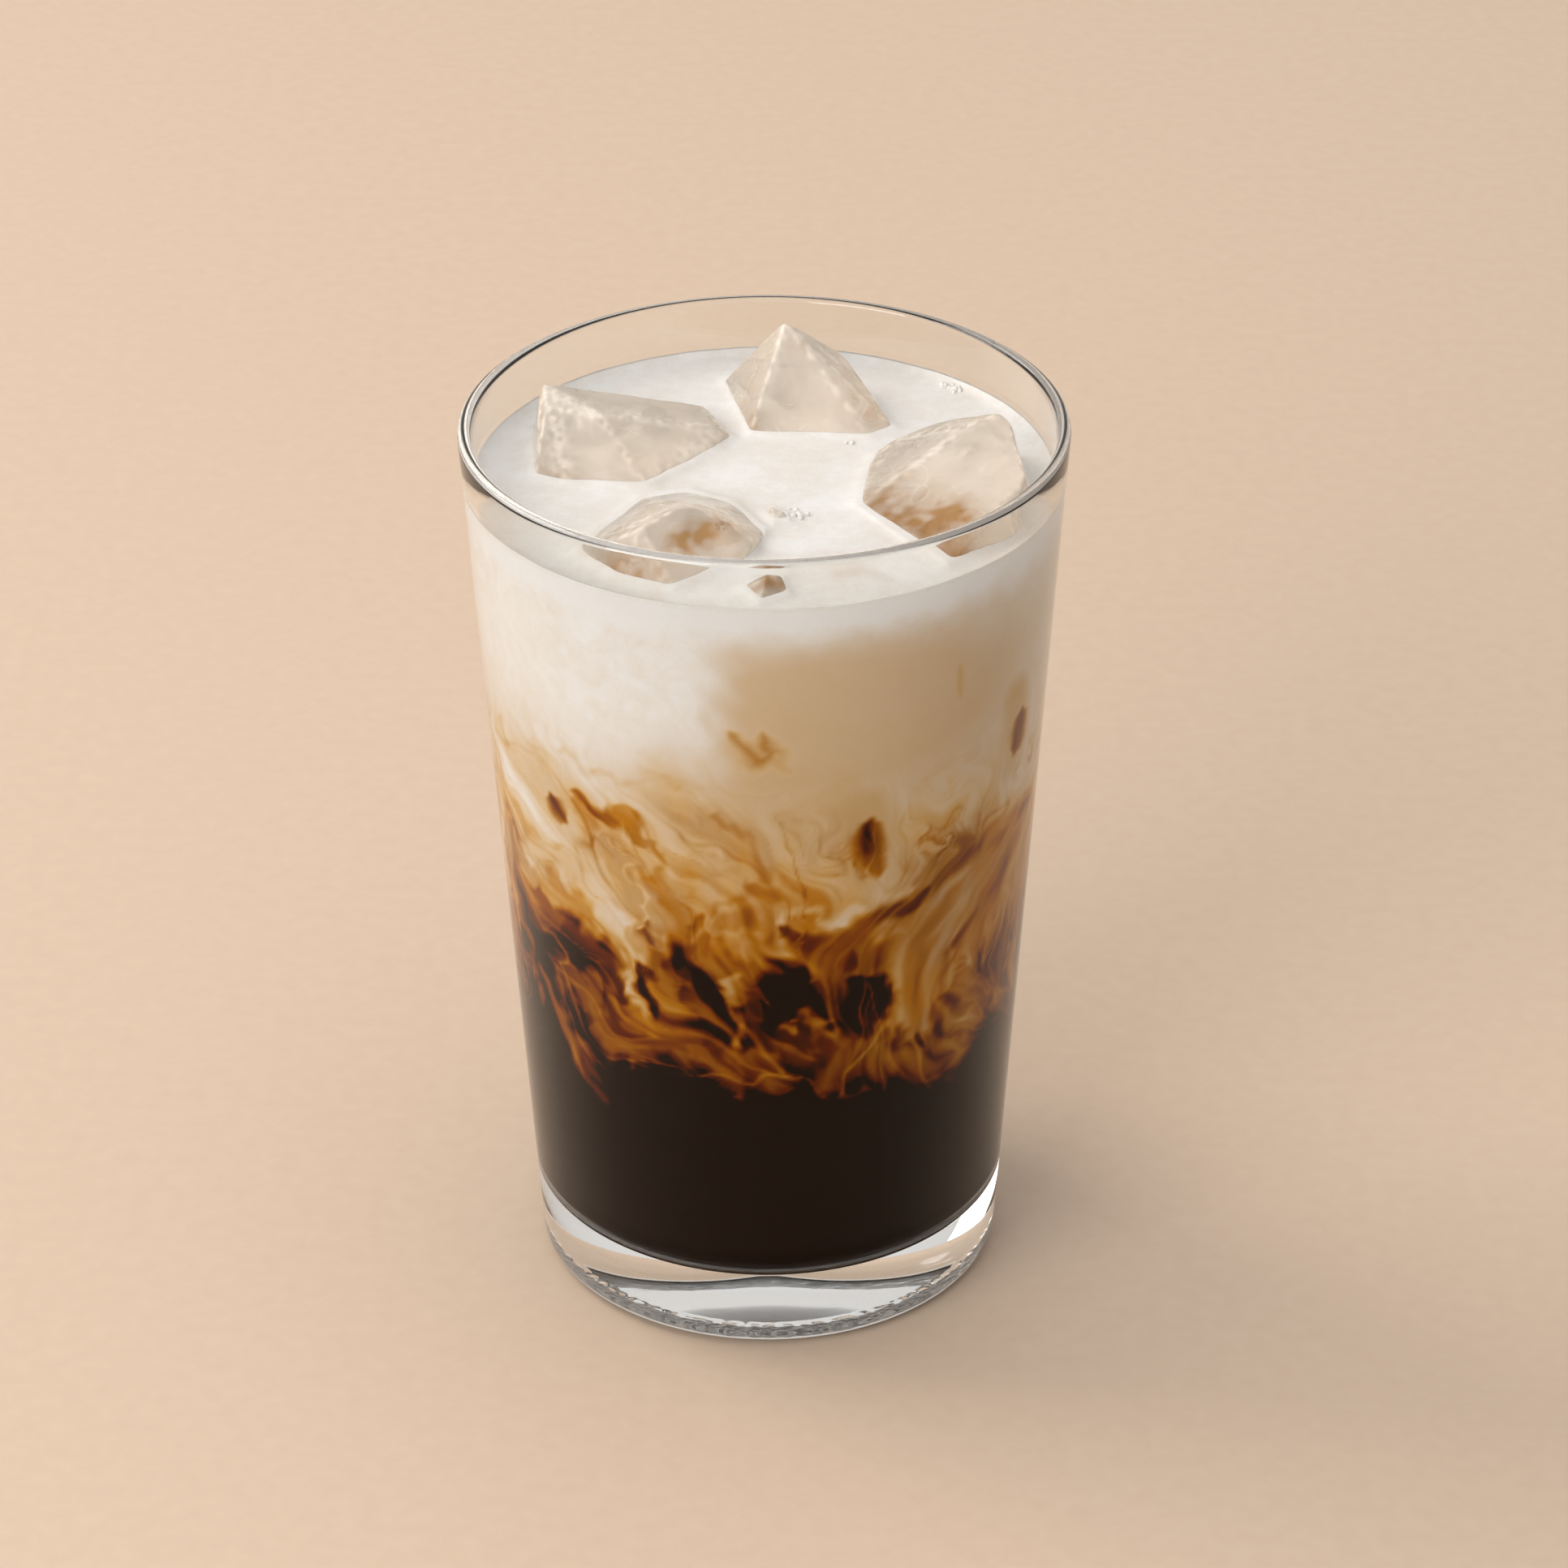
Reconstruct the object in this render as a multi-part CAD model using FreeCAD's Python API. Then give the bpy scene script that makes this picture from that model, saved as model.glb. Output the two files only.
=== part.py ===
import FreeCAD, Part
import itertools
import math
import os

# Iced latte in a clear tumbler.  Millimetres, +Z up, origin at the centre of the base.

# Glass
GLASS_HEIGHT = 132.0
RIM_DIAMETER = 85.0
BASE_DIAMETER = 67.0
WALL = 1.8
FLOOR_TOP = 10.7            # height of the inside bottom: the glass has a heavy base
FLOOR_DISH = 1.6            # the inside bottom is this much lower at its centre
INNER_CORNER = 7.0          # rounding where the wall meets the inside bottom
HEEL_RADIUS = 2.4           # rounding at the outer foot
BEARING_WIDTH = 4.0         # flat ring the glass stands on
PUNT_HEIGHT = 1.6           # hollow under the base
PUNT_BLEND = 24.0           # run of the shallow slope from the ring up into the hollow

# Drink
FILL_GAP = 8.5              # milk surface below the rim
COFFEE_TOP = 46.0
SWIRL_TOP = 98.0

# Ice: each block is the hull of its outline at the milk surface, its crest above it and the
# same outline repeated below, shrunk by WAIST and FOOT.  Crest heights are above the milk.
WAIST = 1.0
FOOT = 0.72
WAIST_SHARE = 0.55          # depth of the waist outline as a share of the sunk depth
ICE_BLOCKS = {
    "ice_left": {
        "sunk": 22.0,
        "outline": [(-32.2, -0.3), (-27.4, -2.4), (-15.9, -3.5), (-10.4, 2.7), (-4.2, 12.1),
                    (-9.0, 20.5), (-29.0, 20.0), (-33.0, 14.5)],
        "crest": [(-30.5, 7.7, 7.4), (-23.2, 6.2, 7.0), (-31.3, 13.5, 8.3), (-5.6, 11.3, 1.7),
                  (-8.3, 18.8, 2.0)],
    },
    "ice_back": {
        "sunk": 20.0,
        "outline": [(-6.3, 30.4), (-2.3, 13.2), (15.2, 11.7), (18.8, 14.5), (15.5, 24.5),
                    (6.0, 34.0), (-3.0, 34.5)],
        "crest": [(2.9, 22.5, 13.5), (11.4, 25.7, 6.5), (14.3, 22.5, 2.5)],
    },
    "ice_right": {
        "sunk": 21.0,
        "outline": [(11.8, -8.7), (19.4, -21.0), (24.4, -26.5), (33.0, -19.5), (37.0, -8.0),
                    (36.0, 4.5), (26.0, 13.0), (14.8, 6.8)],
        "crest": [(32.7, 2.9, 8.5), (34.2, -0.1, 8.3), (35.6, -13.1, 6.0), (27.6, 2.0, 6.8),
                  (24.5, 9.1, 4.0), (17.4, 7.6, 2.0)],
    },
    "ice_front": {
        "sunk": 20.0,
        "outline": [(-25.9, -22.5), (-23.7, -16.5), (-17.0, -5.7), (-10.3, -3.8), (-4.1, -7.6),
                    (0.6, -16.7), (-4.0, -27.9), (-12.1, -33.0), (-19.6, -29.6)],
        "crest": [(-10.0, -21.4, 6.5), (-16.5, -26.6, 5.8), (-5.3, -21.7, 4.4),
                  (-1.1, -23.2, 1.8)],
    },
    "ice_chip_front": {
        "sunk": 5.0,
        "outline": [(-3.2, -32.6), (-1.6, -31.0), (2.6, -30.8), (3.4, -34.6), (-0.6, -37.4)],
        "crest": [(0.4, -33.4, 2.2), (2.2, -32.4, 1.4)],
    },
    "ice_chip_middle": {
        "sunk": 2.2,
        "outline": [(-0.2, -11.6), (1.4, -10.4), (3.2, -11.6), (3.4, -13.8), (1.4, -14.4)],
        "crest": [(1.0, -12.0, 1.4), (2.4, -13.0, 1.2)],
    },
}
EDGE_TOLERANCE = 1e-6

MILK_LEVEL = GLASS_HEIGHT - FILL_GAP
RIM_RADIUS = RIM_DIAMETER / 2.0
BASE_RADIUS = BASE_DIAMETER / 2.0
SLOPE = (RIM_RADIUS - BASE_RADIUS) / GLASS_HEIGHT


def outer_radius(z):
    return BASE_RADIUS + SLOPE * z


def inner_radius(z):
    return outer_radius(z) - WALL


def at(r, z):
    return FreeCAD.Vector(r, 0.0, z)


def line(a, b):
    return Part.LineSegment(a, b).toShape()


def arc(a, middle, b):
    return Part.Arc(a, middle, b).toShape()


def revolve(edges):
    face = Part.Face(Part.Wire(edges))
    return face.revolve(FreeCAD.Vector(0, 0, 0), FreeCAD.Vector(0, 0, 1), 360)


def corner_arc(radius, floor_z):
    """Ends and middle of the rounding between the inside bottom and the wall."""
    centre_z = floor_z + radius
    centre_r = inner_radius(centre_z) - radius
    turn = math.atan(SLOPE)
    start = at(centre_r, floor_z)
    half = math.radians(45.0) + turn / 2.0
    middle = at(centre_r + radius * math.sin(half), centre_z - radius * math.cos(half))
    end_z = centre_z - radius * math.sin(turn)
    end = at(inner_radius(end_z), end_z)
    return start, middle, end


def cavity(top):
    """Everything inside the glass up to the height top."""
    start, middle, end = corner_arc(INNER_CORNER, FLOOR_TOP)
    centre = at(0.0, FLOOR_TOP - FLOOR_DISH)
    dish = at(start.x / 2.0, FLOOR_TOP - 0.75 * FLOOR_DISH)
    return revolve([
        arc(centre, dish, start),
        arc(start, middle, end),
        line(end, at(inner_radius(top), top)),
        line(at(inner_radius(top), top), at(0.0, top)),
        line(at(0.0, top), centre),
    ])


def make_glass():
    lip = WALL / 2.0
    lip_z = GLASS_HEIGHT - lip
    ring_out = outer_radius(0.0) - HEEL_RADIUS
    ring_in = ring_out - BEARING_WIDTH
    heel_turn = math.radians(45.0)
    heel_middle = at(ring_out + HEEL_RADIUS * math.sin(heel_turn),
                     HEEL_RADIUS * (1.0 - math.cos(heel_turn)))
    heel_end = at(outer_radius(HEEL_RADIUS), HEEL_RADIUS)
    punt_edge = at(ring_in - PUNT_BLEND, PUNT_HEIGHT)
    body = revolve([
        line(at(0.0, PUNT_HEIGHT), punt_edge),
        line(punt_edge, at(ring_in, 0.0)),
        line(at(ring_in, 0.0), at(ring_out, 0.0)),
        arc(at(ring_out, 0.0), heel_middle, heel_end),
        line(heel_end, at(outer_radius(lip_z), lip_z)),
        arc(at(outer_radius(lip_z), lip_z),
            at(outer_radius(lip_z) - lip, GLASS_HEIGHT),
            at(inner_radius(lip_z), lip_z)),
        line(at(inner_radius(lip_z), lip_z), at(0.0, lip_z)),
        line(at(0.0, lip_z), at(0.0, PUNT_HEIGHT)),
    ])
    return body.cut(cavity(GLASS_HEIGHT))


def hull_faces(points):
    """Outer faces of the convex hull of a short list of points."""
    faces = []
    done = set()
    for a, b, c in itertools.combinations(range(len(points)), 3):
        normal = (points[b] - points[a]).cross(points[c] - points[a])
        if normal.Length < EDGE_TOLERANCE:
            continue
        normal.normalize()
        heights = [normal.dot(p - points[a]) for p in points]
        if max(heights) > EDGE_TOLERANCE and min(heights) < -EDGE_TOLERANCE:
            continue
        flat = frozenset(i for i, h in enumerate(heights) if abs(h) <= EDGE_TOLERANCE)
        if flat in done:
            continue
        done.add(flat)
        faces.append(hull_polygon([points[i] for i in flat], normal))
    return faces


def hull_polygon(corners, normal):
    """Face through coplanar corners, keeping only those on its convex border."""
    middle = FreeCAD.Vector(0, 0, 0)
    for p in corners:
        middle += p * (1.0 / len(corners))
    across = (corners[0] - middle).normalize()
    along = normal.cross(across)
    ring = sorted(corners, key=lambda p: math.atan2((p - middle).dot(along),
                                                    (p - middle).dot(across)))
    kept = []
    for i, p in enumerate(ring):
        before = ring[i - 1]
        after = ring[(i + 1) % len(ring)]
        if (p - before).cross(after - p).dot(normal) > EDGE_TOLERANCE:
            kept.append(p)
    return Part.Face(Part.makePolygon(kept + [kept[0]]))


def make_ice(block):
    outline = block["outline"]
    mid_x = sum(x for x, y in outline) / len(outline)
    mid_y = sum(y for x, y in outline) / len(outline)
    waist_z = MILK_LEVEL - WAIST_SHARE * block["sunk"]
    foot_z = MILK_LEVEL - block["sunk"]
    points = [FreeCAD.Vector(x, y, MILK_LEVEL) for x, y in outline]
    for scale, z in ((WAIST, waist_z), (FOOT, foot_z)):
        points += [FreeCAD.Vector(mid_x + scale * (x - mid_x), mid_y + scale * (y - mid_y), z)
                   for x, y in outline]
    points += [FreeCAD.Vector(x, y, MILK_LEVEL + rise) for x, y, rise in block["crest"]]
    return Part.Solid(Part.Shell(hull_faces(points)))


def main():
    os.makedirs("parts", exist_ok=True)
    ice = {name: make_ice(block) for name, block in ICE_BLOCKS.items()}
    drink = cavity(MILK_LEVEL)
    for block in ice.values():
        drink = drink.cut(block)
    wide = 2.0 * RIM_DIAMETER
    corner = FreeCAD.Vector(-wide / 2.0, -wide / 2.0, 0.0)
    below_coffee = Part.makeBox(wide, wide, COFFEE_TOP, corner)
    below_swirl = Part.makeBox(wide, wide, SWIRL_TOP, corner)
    nodes = {
        "glass": make_glass(),
        "coffee": drink.common(below_coffee),
        "swirl": drink.cut(below_coffee).common(below_swirl),
        "milk": drink.cut(below_swirl),
    }
    nodes.update(ice)
    for name, shape in nodes.items():
        shape.removeSplitter().exportStep("parts/%s.step" % name)


main()
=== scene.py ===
"""Iced latte in a clear tumbler: black coffee, a marbled layer and milk, with ice in the milk.

All lengths are millimetres until a mesh is made, and wall positions are an angle round the
glass, in degrees from the front towards +X, with a height.
"""
import logging
import math
from dataclasses import dataclass, field
from enum import Enum
from typing import Any, Callable, Sequence

import bpy
import numpy as np
from mathutils import Matrix, Vector


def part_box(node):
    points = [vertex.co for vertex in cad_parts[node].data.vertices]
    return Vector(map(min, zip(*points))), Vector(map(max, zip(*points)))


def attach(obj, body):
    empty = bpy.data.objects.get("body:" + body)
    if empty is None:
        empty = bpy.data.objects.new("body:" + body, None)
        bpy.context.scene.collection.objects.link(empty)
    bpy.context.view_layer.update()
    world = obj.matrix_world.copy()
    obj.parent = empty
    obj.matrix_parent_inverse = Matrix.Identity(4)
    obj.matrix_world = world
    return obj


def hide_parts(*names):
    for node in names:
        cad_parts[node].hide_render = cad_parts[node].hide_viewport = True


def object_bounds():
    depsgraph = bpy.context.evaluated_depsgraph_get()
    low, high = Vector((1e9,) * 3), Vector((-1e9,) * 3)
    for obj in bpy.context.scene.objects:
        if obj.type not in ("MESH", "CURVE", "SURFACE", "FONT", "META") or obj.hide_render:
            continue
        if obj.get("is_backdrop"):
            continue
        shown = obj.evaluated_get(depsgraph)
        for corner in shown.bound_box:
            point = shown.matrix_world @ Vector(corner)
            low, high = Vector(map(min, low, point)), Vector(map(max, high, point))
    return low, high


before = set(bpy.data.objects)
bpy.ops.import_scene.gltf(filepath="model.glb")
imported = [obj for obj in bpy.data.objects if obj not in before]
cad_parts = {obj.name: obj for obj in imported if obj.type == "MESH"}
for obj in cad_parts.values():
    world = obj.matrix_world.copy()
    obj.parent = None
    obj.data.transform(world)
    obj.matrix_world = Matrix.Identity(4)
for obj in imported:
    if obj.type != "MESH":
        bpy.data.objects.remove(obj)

MM = 0.001
LOG = logging.getLogger("iced_latte")
Array = np.ndarray


class Slot(Enum):
    """The material slots."""

    GLASS = "glass"
    COFFEE = "coffee"
    SWIRL = "swirl"
    MILK = "milk"
    ICE = "ice"


# ---------------------------------------------------------------- colours and nodes


def linear(hex_colour: str) -> tuple[float, float, float, float]:
    """Turns an sRGB hex colour into a linear one.

    Args:
        hex_colour: Six hex digits, such as "C08040".

    Returns:
        Red, green, blue and an alpha of 1.
    """
    out = []
    for i in (0, 2, 4):
        c = int(hex_colour[i:i + 2], 16) / 255.0
        out.append(c / 12.92 if c <= 0.04045 else ((c + 0.055) / 1.055) ** 2.4)
    return out[0], out[1], out[2], 1.0


def add(tree: bpy.types.NodeTree, kind: str, settings: dict[str, Any] | None = None,
        links: dict[Any, bpy.types.NodeSocket] | None = None) -> bpy.types.Node:
    """Adds a shader node with its settings and links.

    Args:
        tree: The node tree that gets it.
        kind: The node's type name.
        settings: Values for its properties, or for its inputs by name or number. A "stops"
            entry lists the positions and colours of a colour ramp.
        links: Sockets to feed its inputs, by input name or number.

    Returns:
        The new node.
    """
    made = tree.nodes.new(kind)
    for key, value in (settings or {}).items():
        if key == "stops":
            ramp = made.color_ramp.elements
            while len(ramp) < len(value):
                ramp.new(0.5)
            for stop, (place, colour) in zip(ramp, value):
                stop.position = place
                stop.color = colour
        elif isinstance(key, str) and hasattr(made, key):
            setattr(made, key, value)
        else:
            made.inputs[key].default_value = value
    for key, socket in (links or {}).items():
        tree.links.new(socket, made.inputs[key])
    return made


def new_material(name: str) -> tuple[bpy.types.Material, bpy.types.NodeTree]:
    """Makes an empty node material.

    Args:
        name: What the material is.

    Returns:
        The material and its node tree.
    """
    material = bpy.data.materials.new(name)
    material.use_nodes = True
    material.node_tree.nodes.clear()
    return material, material.node_tree


def finish_surface(tree: bpy.types.NodeTree, shader: bpy.types.Node) -> None:
    """Feeds the shader to the material's output."""
    add(tree, "ShaderNodeOutputMaterial", links={"Surface": shader.outputs[0]})


def coordinates(tree: bpy.types.NodeTree) -> bpy.types.NodeSocket:
    """Gives the object coordinates, in metres, that every pattern is laid in."""
    return add(tree, "ShaderNodeTexCoord").outputs["Object"]


def per_metre(size_mm: float) -> float:
    """Turns the real size of a pattern's cell, in millimetres, into a noise scale."""
    return 1.0 / (size_mm * MM)


# ---------------------------------------------------------------- small mathematics


def smooth(low: float, high: float, x: Any) -> Any:
    """Rises smoothly from 0 at low to 1 at high."""
    t = np.clip((x - low) / (high - low), 0.0, 1.0)
    return t * t * (3.0 - 2.0 * t)


def arc(centre: tuple[float, float], radius: float, start: float, end: float,
        steps: int) -> list[tuple[float, float]]:
    """Points of an arc in the (r, z) plane.

    Args:
        centre: Its centre.
        radius: Its radius.
        start: First angle, in degrees from +r towards +z.
        end: Last angle.
        steps: How many spans.

    Returns:
        The points from start to end.
    """
    angles = np.radians(np.linspace(start, end, steps + 1))
    return [(centre[0] + radius * math.cos(a), centre[1] + radius * math.sin(a)) for a in angles]


def span(a: tuple[float, float], b: tuple[float, float], pitch: float) -> list[tuple[float, float]]:
    """Points of a straight run from a to b, at most pitch apart."""
    steps = max(1, math.ceil(math.dist(a, b) / pitch))
    return [(a[0] + (b[0] - a[0]) * i / steps, a[1] + (b[1] - a[1]) * i / steps)
            for i in range(steps + 1)]


def joined(*runs: Sequence[tuple[float, float]]) -> Array:
    """Joins runs of points end to end, dropping the doubled ends."""
    out: list[tuple[float, float]] = []
    for run in runs:
        for point in run:
            if not out or math.dist(out[-1], point) > 1e-6:
                out.append(point)
    return np.array(out)


class Waves:
    """Seamless noise made of random waves in space."""

    def __init__(self, seed: int, shortest: float, longest: float, count: int = 32) -> None:
        """Draws the waves, with lengths between shortest and longest in millimetres."""
        rng = np.random.default_rng(seed)
        way = rng.standard_normal((count, 3))
        way /= np.linalg.norm(way, axis=1, keepdims=True)
        length = np.exp(rng.uniform(math.log(shortest), math.log(longest), count))
        self.ways = way * (2.0 * math.pi / length)[:, None]
        self.phases = rng.uniform(0.0, 2.0 * math.pi, count)

    def at(self, points: Array) -> Array:
        """Gives the noise, about -1 to 1, at each point."""
        return np.cos(points @ self.ways.T + self.phases).sum(axis=1) / math.sqrt(
            2.0 * len(self.phases))


# ---------------------------------------------------------------- mesh helpers


def mesh_object(name: str, points: Array, faces: Any) -> bpy.types.Object:
    """Makes a smooth-shaded mesh object.

    Args:
        name: The object's name.
        points: Its vertices in millimetres, one row each.
        faces: Its faces as lists of vertex numbers.

    Returns:
        The object, linked to the scene.
    """
    mesh = bpy.data.meshes.new(name)
    mesh.from_pydata((np.asarray(points) * MM).tolist(), [], faces)
    mesh.update()
    mesh.shade_smooth()
    made = bpy.data.objects.new(name, mesh)
    bpy.context.scene.collection.objects.link(made)
    return made


def vertices(piece: bpy.types.Object) -> Array:
    """Gives a mesh's vertices in millimetres, one row each."""
    flat = np.zeros(len(piece.data.vertices) * 3)
    piece.data.vertices.foreach_get("co", flat)
    return flat.reshape(-1, 3) / MM


def face_middles(piece: bpy.types.Object) -> Array:
    """Gives the middle of each face in millimetres, one row each."""
    flat = np.zeros(len(piece.data.polygons) * 3)
    piece.data.polygons.foreach_get("center", flat)
    return flat.reshape(-1, 3) / MM


def set_attribute(piece: bpy.types.Object, name: str, values: Array) -> None:
    """Stores one number a vertex under this name."""
    held = piece.data.attributes.new(name, "FLOAT", "POINT")
    held.data.foreach_set("value", np.asarray(values, dtype=np.float32))


def lathe(profile: Array, turns: Array) -> tuple[Array, list[list[int]]]:
    """Turns a profile that starts and ends on the axis into a closed skin.

    Args:
        profile: (r, z) rows. The first and the last have r = 0. Going along it, the inside of
            the solid is on the left.
        turns: Angles round the axis in radians, from the front towards +X.

    Returns:
        The vertices and the faces.
    """
    rings = profile[1:-1]
    sin, cos = np.sin(turns), np.cos(turns)
    count = len(turns)
    body = np.stack([rings[:, :1] * sin, -rings[:, :1] * cos,
                     np.repeat(rings[:, 1:], count, axis=1)], axis=-1).reshape(-1, 3)
    points = np.vstack([body, [0.0, 0.0, profile[0, 1]], [0.0, 0.0, profile[-1, 1]]])
    first, last = len(body), len(body) + 1
    here = np.arange(count)
    after = (here + 1) % count
    row = (np.arange(len(rings) - 1) * count)[:, None]
    quads = np.stack([row + here, row + after, row + count + after, row + count + here],
                     axis=-1).reshape(-1, 4)
    faces = quads.tolist()
    top = (len(rings) - 1) * count
    faces += [[first, int(b), int(a)] for a, b in zip(here, after)]
    faces += [[last, int(top + a), int(top + b)] for a, b in zip(here, after)]
    return points, faces


def even_turns(count: int) -> Array:
    """Gives count even angles round the axis, in radians."""
    return np.arange(count) / count * 2.0 * math.pi - math.pi


def cube_ball(cells: int) -> tuple[Array, list[list[int]]]:
    """Makes an even ball of quads of unit radius.

    Args:
        cells: Cells along each side of the six panels.

    Returns:
        The unit directions and the faces.
    """
    ticks = np.tan((np.arange(cells + 1) / cells * 2.0 - 1.0) * math.pi / 4.0)
    a, b = np.meshgrid(ticks, ticks, indexing="ij")
    one = np.ones_like(a)
    panels = [(one, a, b), (-one, b, a), (b, one, a), (a, -one, b), (a, b, one), (b, a, -one)]
    points = np.concatenate([np.stack(p, axis=-1).reshape(-1, 3) for p in panels])
    points /= np.linalg.norm(points, axis=1, keepdims=True)
    unique, index = np.unique(np.round(points, 7), axis=0, return_inverse=True)
    index = index.ravel()
    i, j = np.meshgrid(np.arange(cells), np.arange(cells), indexing="ij")
    corner = (i * (cells + 1) + j).ravel()
    quad = np.stack([corner, corner + cells + 1, corner + cells + 2, corner + 1], axis=1)
    faces = np.concatenate([index[quad + p * (cells + 1) ** 2] for p in range(6)])
    return unique, faces.tolist()


# ---------------------------------------------------------------- the tumbler's shape


@dataclass(frozen=True)
class TumblerShape:
    """Sizes of the glass, in millimetres, as its CAD solid has them."""

    height: float = 132.0
    rim_radius: float = 42.5
    base_radius: float = 33.5
    wall: float = 1.8
    floor_top: float = 10.7
    floor_dish: float = 1.6
    inner_corner: float = 7.0
    heel: float = 2.4
    bearing: float = 4.0
    punt: float = 1.6
    punt_blend: float = 24.0
    fill: float = 123.5

    @property
    def slope(self) -> float:
        """Growth of the radius with height."""
        return (self.rim_radius - self.base_radius) / self.height

    def outer(self, z: Any) -> Any:
        """Outer radius at height z."""
        return self.base_radius + self.slope * z

    def inner(self, z: Any) -> Any:
        """Inner radius at height z."""
        return self.outer(z) - self.wall

    def inside(self, top: float, pitch: float, wall_pitch: float, lap: float = 0.0) -> Array:
        """Profile of the inside, from the middle of its floor up the wall.

        Args:
            top: Height where it stops.
            pitch: Longest span on the floor and its corner.
            wall_pitch: Longest span up the wall.
            lap: How far the profile is pushed into the glass.

        Returns:
            The (r, z) rows.
        """
        centre = (self.inner(self.floor_top + self.inner_corner) - self.inner_corner,
                  self.floor_top + self.inner_corner)
        turn = math.degrees(math.atan(self.slope))
        dish = [(r, self.floor_top - self.floor_dish * (1.0 - (r / centre[0]) ** 2))
                for r in np.linspace(0.0, centre[0], max(3, int(centre[0] / pitch)))]
        corner = arc(centre, self.inner_corner, -90.0, -turn,
                     max(8, int(self.inner_corner * 1.6 / pitch)))
        rise = span(corner[-1], (float(self.inner(top)), top), wall_pitch)
        profile = joined(dish, corner, rise)
        along = np.gradient(profile, axis=0)
        along /= np.linalg.norm(along, axis=1, keepdims=True)
        pushed = profile + np.stack([along[:, 1], -along[:, 0]], axis=1) * lap
        pushed[0, 0] = 0.0
        return pushed


SHAPE = TumblerShape()


def fit_to_frame() -> float:
    """Radial scale that keeps the smooth glass inside the faceted CAD glass."""
    low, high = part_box("glass")
    reach = min(high.x, high.y, -low.x, -low.y) / MM
    lip = SHAPE.wall / 2.0
    return (reach - 0.01) / float(SHAPE.outer(SHAPE.height - lip))


FIT = fit_to_frame()


def fitted(points: Array) -> Array:
    """Scales points about the axis so that they sit inside the CAD glass."""
    return points * np.array([FIT, FIT, 1.0])


# ---------------------------------------------------------------- the marbling


@dataclass(frozen=True)
class Plume:
    """One stroke of coffee or milk on the wall of the glass.

    Its path holds (degrees from the front, height) points, width is its half width in
    millimetres, tone runs from 0 for black coffee to 1 for milk, and softness is how far its
    border spreads. A veil above 0 greys it and one below 0 clears the haze, blunt ends keep their
    width, and the eddies don't bend a still one.
    """

    name: str
    path: tuple[tuple[float, float], ...]
    width: float
    tone: float
    softness: float
    veil: float = 0.0
    blunt: bool = False
    still: bool = False


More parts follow.
